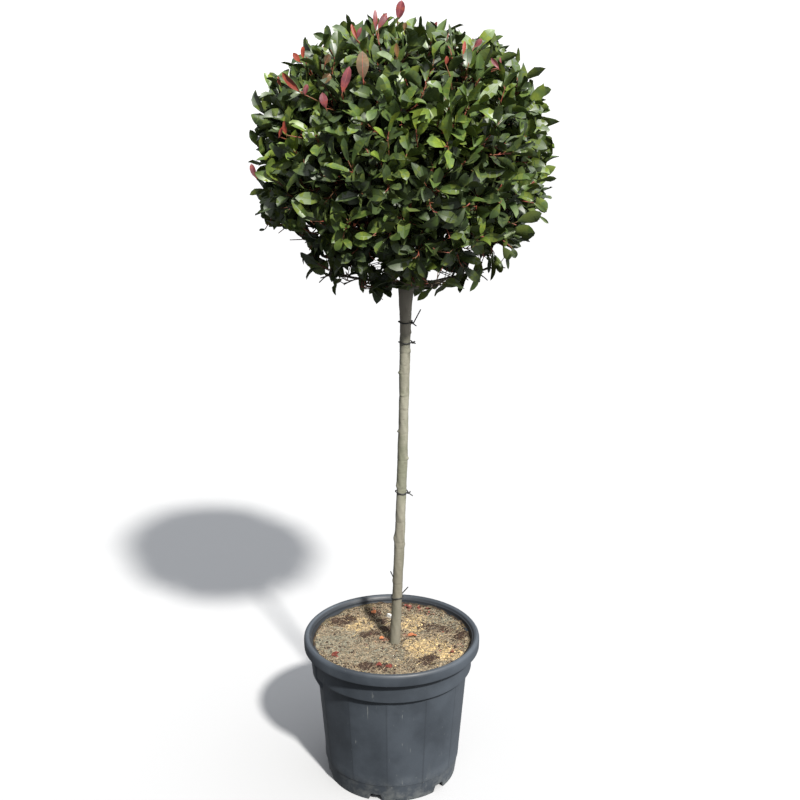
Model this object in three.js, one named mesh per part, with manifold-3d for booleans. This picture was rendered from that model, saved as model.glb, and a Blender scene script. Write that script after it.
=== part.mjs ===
// Standard lollipop topiary: a clipped evergreen head on a clear stem, grown in a round nursery pot.
// Millimetres, +Z up, front towards -Y. The origin is the middle of the pot's flat underside.

import * as THREE from 'three';
import { mergeVertices } from 'three/addons/utils/BufferGeometryUtils.js';
import Module from 'manifold-3d';

const wasm = await Module();
wasm.setup();

// Clearance between two pieces that touch
const GAP = 0.3;

// Corners closer than this are merged after a join
const SMALLEST_EDGE = 0.04;

// Golden angle, which spreads shoots and leaves evenly
const GOLDEN_ANGLE = Math.PI * (3 - Math.sqrt(5));

// Pot, from its foot to its rolled rim
const POT_SIDES = 36;
const SOIL_SIDES = POT_SIDES / 2;
const POT_WALL = 3.4;
const POT_HEIGHT = 345;
const FOOT_RADIUS = 148;
const HEEL_RADIUS = 154;
const HEEL_TOP = 42;
const BODY_FOOT_RADIUS = 155;
const BODY_TOP_RADIUS = 172.8;
const COLLAR_FOOT = 268.7;
const COLLAR_RADIUS = 182;
const STEP_RISE = 1;
const RIM_FOOT = 317.5;
const RIM_RADIUS = 200;
const RIM_ROUND = 6;
const RIM_ROUND_SHARE = 0.3;
const RIM_THROAT = 187;

// Floor of the pot: a flat middle that it stands on, and a raised channel inside its foot ring
const STAND_RADIUS = 112;
const CHANNEL_SLOPE = 4;
const CHANNEL_HEIGHT = 20;

// Shallow upright panels moulded in the pot's body
const PANELS = 12;
const PANEL_DEPTH = 2.2;
const PANEL_TURN = THREE.MathUtils.degToRad(-3.5);
const PANEL_FOOT = 60;

// Drain notches in the foot ring
const NOTCHES = 6;
const NOTCH_TURN = THREE.MathUtils.degToRad(-14);
const NOTCH_WIDTH = 32;
const NOTCH_TOP_WIDTH = 23;
const NOTCH_HEIGHT = 17;
const NOTCH_DEPTH = 16;
const NOTCH_BACK = 1;

// Plain upright pads on the pot's two sides, where the rim's groove ends
const PADS = 2;
const PAD_WIDTH = 44;
const PAD_RADIUS = 188;
const PAD_FOOT = 236;
const PAD_SHOULDER_DROP = 8;
const PAD_LIP = 5;
const PAD_PROUD = 1.5;
const PAD_BITE = 2.7;
const PAD_TURN = THREE.MathUtils.degToRad(-72);

// Soil in the pot
const SOIL_LEVEL = 318;
const SOIL_RINGS = [26, 70, 112, 150];
const SOIL_RELIEF = 4;
const SOIL_EDGE_DROP = 5;

// Trunk, from its flat cut at the soil to the knuckle where it forks
const TRUNK_SIDES = 12;
const TRUNK_STEPS = 24;
const TRUNK_FOOT_X = 7.5;
const FORK_HEIGHT = 1147;
const TRUNK_LEAN = 24;
const TRUNK_BOW = 4;
const TRUNK_SIDE_BOW = 3;
const TRUNK_RADIUS = 10.4;
const TRUNK_TAPER = 1.1;
const FLARE_RADIUS = 5;
const FLARE_REACH = 16;
const KNUCKLE_RADIUS = 5.1;
const KNUCKLE_REACH = 80;
const KNUCKLE_DOME = 17;
const RING_CROWDING = 0.05;

// Boughs: low ones that carry the skirt sprays, and steep ones that run up into the clipped head
const BOUGH_SIDES = 7;
const BOUGH_STEPS = 4;
const LOW_BOUGHS = 5;
const LOW_BOUGH_RISE = THREE.MathUtils.degToRad(11);
const LOW_BOUGH_LENGTH = 92;
const LOW_BOUGH_RADII = [5.4, 3.4];
const STEEP_BOUGHS = 3;
const STEEP_BOUGH_TURN = THREE.MathUtils.degToRad(36);
const STEEP_BOUGH_RISE = THREE.MathUtils.degToRad(62);
const STEEP_BOUGH_RADII = [5.8, 4.1];
const BOUGH_SAG = 5;
const BOUGH_BEND_SHARE = 0.55;
const BOUGH_TURN_SWAY = 0.07;
const BOUGH_RISE_SWAY = 0.05;
const BOUGH_SINK = 2;
const BOUGH_START_TURN = THREE.MathUtils.degToRad(-4);

// Clipped head: its middle, its reach out to the leaf tips, and the squareness of its outline
const HEAD = new THREE.Vector3(20, 0, 1395);
const HEAD_REACH = 306;
const HEAD_RISE = 274;
const HEAD_DROP = 258;
const HEAD_SQUARENESS = 2.25;
const CORE_SHARE = 0.73;
const CORE_DETAIL = 3;
const CORE_LUMPS = 12;
const LUMP_WAVES = new THREE.Vector3(7, 8, 6);
const CROWN_FLOOR = -182;
const CORE_FLOOR = -164;

// Shoots that stand out of the head's core
const CROWN_SHOOTS = 86;
const CROWN_SHOOT_SINK = 14;
const CROWN_SHOOT_LENGTH = 34;
const SHORTEST_SHOOT = 0.8;
const SHOOT_SPREAD = 0.3;
const SHOOT_LEAN = 0.3;
const SHOOT_LIFT = 0.15;
const SHOOT_LIFT_SWAY = 0.2;
const SHOOT_BARE_SHARE = 0.2;
const SHOOT_FLOOR_MARGIN = 8;
const CROWN_LIMIT = 1.01;

// Taller young shoots: the place over which each stands, and how far its tip rises out of the outline
const TALL_SHOOTS = [
  [-16, -46, 52],
  [-52, 8, 38],
  [46, -22, 40],
  [-128, -74, 30],
  [118, 40, 30],
  [8, 96, 36],
];
const TALL_SHOOT_ROOT = 0.69;
const TALL_SHOOT_BARE_SHARE = 0.45;
const TALL_SHOOT_LEAVES = 3;
const TALL_SHOOT_SEED = 900;
const CROWN_STEM_RISE = 30;
const CROWN_STEM_TIP = 3;

// Skirt sprays round the open underside of the head
const SKIRT_TOP = -185;
const SKIRT_STEM_LENGTH = 84;
const SKIRT_STEM_RISE = THREE.MathUtils.degToRad(14);
const SKIRT_STEM_RADII = [3.4, 1.8];
const SKIRT_TWIGS = 7;
const SKIRT_TWIG_LENGTH = 44;
const SKIRT_SECTOR = THREE.MathUtils.degToRad(35.4);
const SKIRT_LIMIT = 1.02;
const SKIRT_STEM_SIDES = 6;
const SKIRT_STEM_STEPS = 4;
const SKIRT_FIRST_TWIG = 0.12;
const SKIRT_LAST_TWIG = 0.98;
const SKIRT_TWIG_TURN = 0.75;
const SKIRT_TWIG_CLOSING = 0.55;
const SKIRT_TWIG_TURN_SWAY = 0.15;
const SKIRT_TWIG_RISE = 0.05;
const SKIRT_TWIG_RISE_SWAY = 0.4;
const SKIRT_SHORTEST_TWIG = 0.75;
const SKIRT_TWIG_SPREAD = 0.35;
const SKIRT_SEED = 200;
const SKIRT_SEED_STEP = 20;

// Twigs and leaves
const TWIG_FOOT_RADIUS = 2.6;
const TWIG_TIP_RADIUS = 1.3;
const LEAVES_PER_SHOOT = 5;
const LEAVES_PER_SKIRT_TWIG = 4;
const LEAF_TRIES = 6;
const LEAF_LENGTH = 64;
const LEAF_LENGTH_SPREAD = 9;
const LEAF_WIDTH_SHARE = 0.48;
const LEAF_WIDEST_SHARE = 0.56;
const LEAF_THICKNESS = 1.7;
const LEAF_FOLD_SHARE = 0.05;
const LEAF_SPREAD = THREE.MathUtils.degToRad(62);
const LEAF_SPREAD_SWAY = 0.2;
const LEAF_LIFT = 0.12;
const LEAF_FACE_LIFT = 0.4;
const END_LEAF_ROOT = 0.93;
const END_LEAF_SPREAD = 0.12;
const SIDE_LEAF_ROOT = 0.92;
const SIDE_LEAF_RUN = 0.6;
const TRY_SPREAD = 0.12;
const TRY_SPIN = 0.4;
const LEAF_CLEARANCE = 13;
const LIMB_CLEARANCE = 2;
const LIMB_SAMPLES = 8;
const SPINE_SHARES = [0.4, 0.7, 1];

// Tipped off the upright, so that an upright twig still has a side
const ALMOST_UP = new THREE.Vector3(0, 0.2, 1);

// Thin ties round the stem: the height of each, and the turn of its twisted ends
const TIES = [[1068, 0.9], [1024, 1.3], [685, 1.1], [432, 2.6]];
const TIE_THICKNESS = 3;
const TIE_SIDES = 5;
const TIE_STEPS = 13;
const TIE_SLACK = 0.6;
const TIE_TAIL = 22;
const TIE_TAIL_RISES = [1, -0.35];
const TIE_TAIL_TURN = 0.5;
const TIE_TAIL_SPREAD = 0.5;
const TIE_TAIL_TAPER = [0.9, 0.6];
const TIE_TILT = 0.08;

// Salts that keep the uses of the seeded scatter apart
const SALT = {
  soil: 3,
  boughTurn: 11,
  boughRise: 12,
  shootX: 1,
  shootY: 2,
  shootZ: 3,
  shootLength: 4,
  twigTurn: 5,
  twigRise: 6,
  twigLength: 7,
  leafSpread: 20,
  leafSpin: 30,
  leafLength: 40,
  tieTail: 50,
  tieTilt: 60,
};

// Finishes
const POT_PLASTIC = new THREE.MeshStandardMaterial({ color: 0x4b545c, roughness: 0.55, metalness: 0 });
const COMPOST = new THREE.MeshStandardMaterial({ color: 0x86795c, roughness: 0.95, metalness: 0 });
const BARK = new THREE.MeshStandardMaterial({ color: 0xa39a7e, roughness: 0.8, metalness: 0 });
const FOLIAGE = new THREE.MeshStandardMaterial({ color: 0x3b5a2c, roughness: 0.4, metalness: 0 });
const TIE_PLASTIC = new THREE.MeshStandardMaterial({ color: 0x23272a, roughness: 0.5, metalness: 0 });

// Seeded scatter: one whole number and one salt always give the same share between 0 and 1.
function scatter(index, salt) {
  const wave = Math.sin(index * 12.9898 + salt * 78.233) * 43758.5453;
  return wave - Math.floor(wave);
}

// The same scatter, spread from -1 to 1.
function sway(index, salt) {
  return 2 * scatter(index, salt) - 1;
}

// Direction at a turn from the front (-Y), positive towards +X, and a rise above level.
function heading(turn, rise) {
  const flat = Math.cos(rise);
  return new THREE.Vector3(Math.sin(turn) * flat, -Math.cos(turn) * flat, Math.sin(rise));
}

// A geometry with only positions, its shared corners merged.
function welded(geometry) {
  const bare = geometry.clone();
  bare.deleteAttribute('normal');
  bare.deleteAttribute('uv');
  return mergeVertices(bare);
}

// A closed geometry as a solid that can be joined and cut.
function toSolid(geometry) {
  const shell = welded(geometry);
  const vertProperties = new Float32Array(shell.attributes.position.array);
  const triVerts = new Uint32Array(shell.index.array);
  return new wasm.Manifold(new wasm.Mesh({ numProp: 3, vertProperties, triVerts }));
}

// A solid's vertices and triangles as a geometry.
function toGeometry(solid) {
  const mesh = solid.getMesh();
  const geometry = new THREE.BufferGeometry();
  geometry.setAttribute('position', new THREE.BufferAttribute(mesh.vertProperties, 3));
  geometry.setIndex(new THREE.BufferAttribute(mesh.triVerts, 1));
  geometry.computeVertexNormals();
  return geometry;
}

// The largest body of a joined solid, which drops loose scraps and fills sealed hollows.
function mainBody(solid) {
  const bodies = solid.simplify(SMALLEST_EDGE).decompose();
  return bodies.reduce((best, body) => (body.volume() > best.volume() ? body : best));
}

// A named mesh of a solid, with its finish.
function node(name, solid, material) {
  const mesh = new THREE.Mesh(toGeometry(solid), material);
  mesh.name = name;
  return mesh;
}

// A profile of [radius, height] points turned round +Z; it starts and ends on the axis.
function turned(profile, sides) {
  const points = profile.map(([radius, height]) => new THREE.Vector2(radius, height));
  return new THREE.LatheGeometry(points, sides, PANEL_TURN).rotateX(Math.PI / 2);
}

// A round tapering limb: the rings of a unit cylinder carried along a curve.
// Level rings stay flat, so that a trunk stands on a flat cut.
function limb(curve, radiusAt, sides, steps, level = false) {
  const bar = new THREE.CylinderGeometry(1, 1, 1, sides, steps);
  const frames = curve.computeFrenetFrames(steps);
  const corners = bar.attributes.position;
  for (let i = 0; i < corners.count; i += 1) {
    const step = Math.round((corners.getY(i) + 0.5) * steps);
    const along = step / steps;
    const radius = radiusAt(along);
    const across = level ? new THREE.Vector3(1, 0, 0) : frames.normals[step].clone();
    const beside = level ? new THREE.Vector3(0, -1, 0) : frames.binormals[step].clone().negate();
    const corner = curve.getPointAt(along);
    corner.addScaledVector(across, corners.getX(i) * radius);
    corner.addScaledVector(beside, corners.getZ(i) * radius);
    corners.setXYZ(i, corner.x, corner.y, corner.z);
  }
  return toSolid(bar);
}

// The radius along a limb that narrows evenly from one radius to the other.
function taper(radii) {
  return (along) => THREE.MathUtils.lerp(radii[0], radii[1], along);
}

// The inside of the pot's wall and floor, from the floor's middle up to the rim's throat.
function potInside() {
  const floor = POT_WALL;
  const channelTop = CHANNEL_HEIGHT + POT_WALL;
  const channelInner = STAND_RADIUS - POT_WALL;
  return [
    [0, floor],
    [channelInner, floor],
    [channelInner + CHANNEL_SLOPE, channelTop],
    [bodyRadius(channelTop) - POT_WALL, channelTop],
    [bodyRadius(HEEL_TOP) - POT_WALL, HEEL_TOP],
    [bodyRadius(COLLAR_FOOT) - POT_WALL, COLLAR_FOOT + POT_WALL / 2],
    [COLLAR_RADIUS - POT_WALL, COLLAR_FOOT + 3 * POT_WALL],
    [COLLAR_RADIUS - POT_WALL, RIM_FOOT + POT_WALL],
  ];
}

// Outer radius of the pot's heel and body at a height.
function bodyRadius(height) {
  if (height < HEEL_TOP) {
    return THREE.MathUtils.mapLinear(height, 0, HEEL_TOP, FOOT_RADIUS, HEEL_RADIUS);
  }
  return THREE.MathUtils.mapLinear(height, HEEL_TOP, COLLAR_FOOT, BODY_FOOT_RADIUS, BODY_TOP_RADIUS);
}

// The outside of the pot, from the middle of its underside up to the top of the rolled rim.
function potOutside() {
  const ringInner = FOOT_RADIUS - POT_WALL;
  const rimInner = RIM_RADIUS - POT_WALL;
  const rimRoof = POT_HEIGHT - 2 * POT_WALL;
  const rimCorner = RIM_ROUND * RIM_ROUND_SHARE;
  const middle = (PANEL_FOOT + COLLAR_FOOT) / 2;
  return [
    [0, 0],
    [STAND_RADIUS, 0],
    [STAND_RADIUS + CHANNEL_SLOPE, CHANNEL_HEIGHT],
    [ringInner, CHANNEL_HEIGHT],
    [ringInner, 0],
    [FOOT_RADIUS, 0],
    [HEEL_RADIUS, HEEL_TOP],
    [bodyRadius(HEEL_TOP + STEP_RISE), HEEL_TOP + STEP_RISE],
    [bodyRadius(PANEL_FOOT), PANEL_FOOT],
    [bodyRadius(middle), middle],
    [bodyRadius(COLLAR_FOOT), COLLAR_FOOT - STEP_RISE],
    [COLLAR_RADIUS, COLLAR_FOOT],
    [COLLAR_RADIUS + STEP_RISE, rimRoof],
    [rimInner, rimRoof],
    [rimInner, RIM_FOOT],
    [RIM_RADIUS, RIM_FOOT],
    [RIM_RADIUS, POT_HEIGHT - RIM_ROUND],
    [RIM_RADIUS - rimCorner, POT_HEIGHT - rimCorner],
    [RIM_RADIUS - RIM_ROUND, POT_HEIGHT],
    [RIM_THROAT, POT_HEIGHT - POT_WALL],
  ];
}

// Presses the shallow panels into the body: each is deepest at its middle and fades at its foot.
function pressPanels(geometry) {
  const corners = geometry.attributes.position;
  for (let i = 0; i < corners.count; i += 1) {
    const radius = Math.hypot(corners.getX(i), corners.getY(i));
    const height = corners.getZ(i);
    const onBody = height > PANEL_FOOT && height < COLLAR_FOOT;
    if (onBody && radius > bodyRadius(height) - POT_WALL / 2) {
      const turn = Math.atan2(corners.getX(i), -corners.getY(i)) - PANEL_TURN;
      const depth = PANEL_DEPTH * Math.abs(Math.sin(turn * PANELS / 2));
      const share = (radius - depth) / radius;
      corners.setXYZ(i, corners.getX(i) * share, corners.getY(i) * share, height);
    }
  }
  return geometry;
}

// One drain notch: a wedge through the foot ring, narrower at its top.
function notchCutter(turn) {
  const outline = new THREE.Shape();
  outline.moveTo(-NOTCH_WIDTH / 2, -POT_WALL);
  outline.lineTo(NOTCH_WIDTH / 2, -POT_WALL);
  outline.lineTo(NOTCH_TOP_WIDTH / 2, NOTCH_HEIGHT);
  outline.lineTo(-NOTCH_TOP_WIDTH / 2, NOTCH_HEIGHT);
  const wedge = new THREE.ExtrudeGeometry(outline, { depth: NOTCH_DEPTH, bevelEnabled: false });
  wedge.rotateX(Math.PI / 2);
  wedge.translate(0, POT_WALL + NOTCH_BACK - FOOT_RADIUS, 0);
  wedge.rotateZ(turn);
  return toSolid(wedge);
}

// A ring that fills the groove under the rim and fades into the body; the two pads are slices of it.
function padRing() {
  const rimInner = RIM_RADIUS - POT_WALL / 2;
  const collarMiddle = COLLAR_RADIUS - POT_WALL / 2;
  const profile = [
    [bodyRadius(PAD_FOOT) - PAD_BITE, PAD_FOOT],
    [bodyRadius(PAD_FOOT) + STEP_RISE, PAD_FOOT],
    [COLLAR_RADIUS + PAD_PROUD, COLLAR_FOOT - PAD_SHOULDER_DROP],
    [PAD_RADIUS, RIM_FOOT - PAD_SHOULDER_DROP],
    [rimInner - 2 * PAD_PROUD, RIM_FOOT + PAD_LIP],
    [rimInner, RIM_FOOT + PAD_LIP],
    [rimInner, POT_HEIGHT - RIM_ROUND],
    [collarMiddle, POT_HEIGHT - RIM_ROUND],
    [collarMiddle, COLLAR_FOOT + STEP_RISE],
    [bodyRadius(COLLAR_FOOT) - PAD_BITE, COLLAR_FOOT - STEP_RISE],
    [bodyRadius(PAD_FOOT) - PAD_BITE, PAD_FOOT],
  ];
  return toSolid(turned(profile, POT_SIDES));
}

// The slice of the pad ring that stands on one side of the pot.
function sidePad(ring, turn) {
  const slice = new THREE.BoxGeometry(PAD_WIDTH, RIM_RADIUS, POT_HEIGHT);
  slice.translate(0, -RIM_RADIUS, POT_HEIGHT);
  slice.rotateZ(turn);
  return ring.intersect(toSolid(slice));
}

// The pot: its turned shell with the panels, side pads and drain notches.
function pot() {
  const profile = [...potOutside(), ...potInside().reverse()];
  const shell = toSolid(pressPanels(turned(profile, POT_SIDES)));
  const ring = padRing();
  const pads = [];
  for (let i = 0; i < PADS; i += 1) {
    pads.push(sidePad(ring, PAD_TURN + i * 2 * Math.PI / PADS));
  }
  const cutters = [];
  for (let i = 0; i < NOTCHES; i += 1) {
    cutters.push(notchCutter(NOTCH_TURN + i * 2 * Math.PI / NOTCHES));
  }
  const joined = wasm.Manifold.union([shell, ...pads]);
  return mainBody(joined.subtract(wasm.Manifold.union(cutters)));
}

// Soil: it fills the inside of the pot a gap clear, with an uneven top that is flat round the trunk.
function soil() {
  const edge = COLLAR_RADIUS - POT_WALL - GAP;
  const wall = potInside().slice(0, -1);
  const inside = wall.map(([radius, height]) => [Math.max(0, radius - GAP), height + GAP]);
  const top = SOIL_RINGS.map((radius) => [radius, SOIL_LEVEL]).reverse();
  const profile = [...inside, [edge, SOIL_LEVEL - SOIL_EDGE_DROP], ...top, [0, SOIL_LEVEL]];
  const body = turned(profile, SOIL_SIDES);
  const corners = body.attributes.position;
  for (let i = 0; i < corners.count; i += 1) {
    const radius = Math.hypot(corners.getX(i), corners.getY(i));
    if (radius > SOIL_RINGS[0] + GAP && corners.getZ(i) === SOIL_LEVEL) {
      const place = Math.round(corners.getX(i)) + POT_SIDES * Math.round(corners.getY(i));
      corners.setZ(i, SOIL_LEVEL + SOIL_RELIEF * sway(place, SALT.soil));
    }
  }
  return toSolid(body);
}

// The trunk's middle line: it leans and bows between the soil and the fork.
class TrunkLine extends THREE.Curve {
  getPoint(share, target = new THREE.Vector3()) {
    const foot = SOIL_LEVEL + GAP;
    const height = THREE.MathUtils.lerp(foot, FORK_HEIGHT + KNUCKLE_DOME, share);
    const along = (height - foot) / (FORK_HEIGHT - foot);
    const bow = Math.sin(Math.PI * Math.min(along, 1));
    const x = TRUNK_FOOT_X + TRUNK_LEAN * Math.min(along, 1) + TRUNK_BOW * bow;
    return target.set(x, TRUNK_SIDE_BOW * bow, height);
  }

  // Even steps of height, so that a share always means the same height
  getPointAt(share, target) {
    return this.getPoint(share, target);
  }
}

const TRUNK_LINE = new TrunkLine();

// The share of the trunk's middle line at a height.
function trunkShareAt(height) {
  const foot = SOIL_LEVEL + GAP;
  return (height - foot) / (FORK_HEIGHT + KNUCKLE_DOME - foot);
}

// The trunk's radius at a height: root flare, gentle taper, then the knuckle and its dome.
function trunkRadius(height) {
  const rise = height - SOIL_LEVEL;
  const clear = FORK_HEIGHT - SOIL_LEVEL;
  const taperPart = TRUNK_TAPER * (1 - Math.min(rise / clear, 1));
  const flare = FLARE_RADIUS * Math.exp(-rise / FLARE_REACH);
  const knuckle = KNUCKLE_RADIUS * Math.exp(-Math.abs(FORK_HEIGHT - height) / KNUCKLE_REACH);
  const over = Math.max(0, height - FORK_HEIGHT) / (KNUCKLE_DOME + STEP_RISE);
  return (TRUNK_RADIUS + taperPart + flare + knuckle) * Math.sqrt(1 - over * over);
}

// The same line with its stations closer together at the root flare and the knuckle.
class EasedTrunkLine extends TrunkLine {
  getPoint(share, target) {
    return super.getPoint(share - RING_CROWDING * Math.sin(2 * Math.PI * share), target);
  }
}

// The trunk, or with an extra radius the room that the boughs leave for it.
function trunk(extra = 0) {
  const line = new EasedTrunkLine();
  const radiusAt = (share) => trunkRadius(line.getPoint(share).z) + extra;
  return limb(line, radiusAt, TRUNK_SIDES, TRUNK_STEPS, true);
}

// The middle of the knuckle, where the boughs' lines meet
const KNUCKLE = new THREE.Vector3(TRUNK_FOOT_X + TRUNK_LEAN, 0, FORK_HEIGHT - BOUGH_SINK);

// The bough's middle line, from inside the knuckle to its tip, sagging a little before it turns up.
function boughLine(turn, rise, length) {
  const out = heading(turn, rise);
  const tip = KNUCKLE.clone().addScaledVector(out, length);
  const middle = KNUCKLE.clone().lerp(tip, BOUGH_BEND_SHARE);
  middle.z -= BOUGH_SAG * Math.cos(rise);
  return new THREE.QuadraticBezierCurve3(KNUCKLE.clone(), middle, tip);
}

// Every bough's middle line, turn and radii.
function boughPlans() {
  const plans = [];
  for (let i = 0; i < LOW_BOUGHS; i += 1) {
    const swayed = BOUGH_START_TURN + BOUGH_TURN_SWAY * sway(i, SALT.boughTurn);
    const turn = Math.PI / 2 + swayed + i * 2 * Math.PI / LOW_BOUGHS;
    const rise = LOW_BOUGH_RISE + BOUGH_RISE_SWAY * sway(i, SALT.boughRise);
    const line = boughLine(turn, rise, LOW_BOUGH_LENGTH);
    plans.push({ line, turn, radii: LOW_BOUGH_RADII, low: true });
  }
  const climb = HEAD.z + SKIRT_TOP - KNUCKLE.z;
  for (let i = 0; i < STEEP_BOUGHS; i += 1) {
    const turn = Math.PI / 2 + BOUGH_START_TURN + STEEP_BOUGH_TURN + i * 2 * Math.PI / STEEP_BOUGHS;
    const line = boughLine(turn, STEEP_BOUGH_RISE, climb / Math.sin(STEEP_BOUGH_RISE));
    plans.push({ line, turn, radii: STEEP_BOUGH_RADII, low: false });
  }
  return plans;
}

// One bough, cut clear of the knuckle that it grows from.
function bough(plan, grownTrunk) {
  const whole = limb(plan.line, taper(plan.radii), BOUGH_SIDES, BOUGH_STEPS);
  return mainBody(whole.subtract(grownTrunk));
}

// The share of the head's reach at which a place lies: 1 on the clipped outline.
function headShare(place) {
  const local = place.clone().sub(HEAD);
  const reachUp = local.z > 0 ? HEAD_RISE : HEAD_DROP;
  const flat = Math.hypot(local.x, local.y) / HEAD_REACH;
  const tall = Math.abs(local.z) / reachUp;
  return Math.pow(flat ** HEAD_SQUARENESS + tall ** HEAD_SQUARENESS, 1 / HEAD_SQUARENESS);
}

// The place on the head where a direction from its middle reaches a share of the outline.
function onHead(direction, share) {
  const probe = HEAD.clone().add(direction);
  return HEAD.clone().addScaledVector(direction, share / headShare(probe));
}

// The head's dense middle, lumpy and flat underneath.
function core() {
  const ball = new THREE.IcosahedronGeometry(1, CORE_DETAIL);
  const corners = ball.attributes.position;
  for (let i = 0; i < corners.count; i += 1) {
    const out = new THREE.Vector3().fromBufferAttribute(corners, i).normalize();
    const wave = out.clone().multiply(LUMP_WAVES);
    const lump = Math.sin(wave.x + 1) * Math.sin(wave.y + 2) * Math.sin(wave.z + 3);
    const place = onHead(out, CORE_SHARE).addScaledVector(out, CORE_LUMPS * lump);
    place.z = Math.max(place.z, HEAD.z + CORE_FLOOR);
    corners.setXYZ(i, place.x, place.y, place.z);
  }
  return toSolid(ball);
}

// A leaf of eight faces: root, tip, two raised edges and the middles of its upper and lower side.
function leaf(root, along, up, length) {
  const side = new THREE.Vector3().crossVectors(along, up).normalize();
  const face = new THREE.Vector3().crossVectors(side, along).normalize();
  const blade = new THREE.OctahedronGeometry(1, 0);
  const corners = blade.attributes.position;
  const places = [];
  for (let i = 0; i < corners.count; i += 1) {
    const end = corners.getY(i);
    const reach = end > 0.5 ? 1 : (end < -0.5 ? 0 : LEAF_WIDEST_SHARE);
    const edge = corners.getX(i);
    const place = root.clone().addScaledVector(along, length * reach);
    place.addScaledVector(side, edge * length * LEAF_WIDTH_SHARE / 2);
    place.addScaledVector(face, Math.abs(edge) * length * LEAF_FOLD_SHARE);
    place.addScaledVector(face, corners.getZ(i) * LEAF_THICKNESS / 2);
    corners.setXYZ(i, place.x, place.y, place.z);
    places.push(place);
  }
  const spine = SPINE_SHARES.map((share) => root.clone().addScaledVector(along, length * share));
  return { blade, places, spine };
}

// A three-sided twig between two places.
function twig(foot, tip) {
  const along = tip.clone().sub(foot);
  const bar = new THREE.CylinderGeometry(TWIG_TIP_RADIUS, TWIG_FOOT_RADIUS, along.length(), 3, 1);
  bar.translate(0, along.length() / 2, 0);
  const turn = new THREE.Quaternion().setFromUnitVectors(new THREE.Vector3(0, 1, 0), along.normalize());
  bar.applyQuaternion(turn);
  bar.translate(foot.x, foot.y, foot.z);
  return bar;
}

// The distance from a place to the nearest limb's surface.
function limbDistance(place, plans) {
  let nearest = Infinity;
  plans.forEach((plan) => {
    for (let step = 0; step <= LIMB_SAMPLES; step += 1) {
      const share = step / LIMB_SAMPLES;
      const distance = place.distanceTo(plan.line.getPoint(share)) - taper(plan.radii)(share);
      nearest = Math.min(nearest, distance);
    }
  });
  const height = THREE.MathUtils.clamp(place.z, SOIL_LEVEL + GAP, FORK_HEIGHT + KNUCKLE_DOME);
  const stem = TRUNK_LINE.getPoint(trunkShareAt(height));
  return Math.min(nearest, place.distanceTo(stem) - trunkRadius(height));
}

// A mass of foliage: solids that are joined at the end, and the rule for what may be added.
class Mass {
  constructor(allows, plans) {
    this.allows = allows;
    this.plans = plans;
    this.solids = [];
    this.spines = [];
  }

  // Whether all places lie in the mass's own space and clear of the limbs.
  fits(places) {
    return places.every((place) => this.allows(place) && limbDistance(place, this.plans) > LIMB_CLEARANCE);
  }

  // Adds a twig unless it leaves the mass's space.
  addTwig(foot, tip) {
    const middle = foot.clone().add(tip).divideScalar(2);
    if (!this.fits([tip, middle])) {
      return false;
    }
    this.solids.push(toSolid(twig(foot, tip)));
    return true;
  }

  // Adds a leaf unless it crowds another one or leaves the mass's space.
  addLeaf(root, along, up, length) {
    const made = leaf(root, along, up, length);
    const near = (place) => this.spines.some((other) => place.distanceTo(other) < LEAF_CLEARANCE);
    const free = made.places.filter((place) => place.distanceTo(root) > TWIG_TIP_RADIUS);
    if (made.spine.some(near) || !this.fits([...free, ...made.spine])) {
      return false;
    }
    this.spines.push(...made.spine);
    this.solids.push(toSolid(made.blade));
    return true;
  }

  // Leaves round a twig: one at its end and the rest a golden angle apart down its sides.
  addLeaves(foot, tip, seed, count) {
    const along = tip.clone().sub(foot).normalize();
    const across = new THREE.Vector3().crossVectors(along, ALMOST_UP).normalize();
    const up = along.clone().addScaledVector(ALMOST_UP, LEAF_FACE_LIFT);
    for (let k = 0; k < count; k += 1) {
      const rootShare = k === 0 ? END_LEAF_ROOT : SIDE_LEAF_ROOT - SIDE_LEAF_RUN * k / count;
      const root = foot.clone().lerp(tip, rootShare);
      const length = LEAF_LENGTH + LEAF_LENGTH_SPREAD * sway(seed, SALT.leafLength + k);
      const sideSpread = LEAF_SPREAD + LEAF_SPREAD_SWAY * sway(seed, SALT.leafSpread + k);
      for (let attempt = 0; attempt < LEAF_TRIES; attempt += 1) {
        const spread = k === 0 ? END_LEAF_SPREAD : sideSpread + TRY_SPREAD * attempt;
        const spin = (k + TRY_SPIN * attempt) * GOLDEN_ANGLE + 2 * Math.PI * scatter(seed, SALT.leafSpin);
        const outward = across.clone().applyAxisAngle(along, spin);
        const direction = along.clone().multiplyScalar(Math.cos(spread));
        direction.addScaledVector(outward, Math.sin(spread));
        direction.z += LEAF_LIFT;
        if (this.addLeaf(root, direction.normalize(), up, length)) {
          break;
        }
      }
    }
  }

  // The whole mass as one closed body.
  joined() {
    return mainBody(wasm.Manifold.union(this.solids));
  }
}

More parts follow.
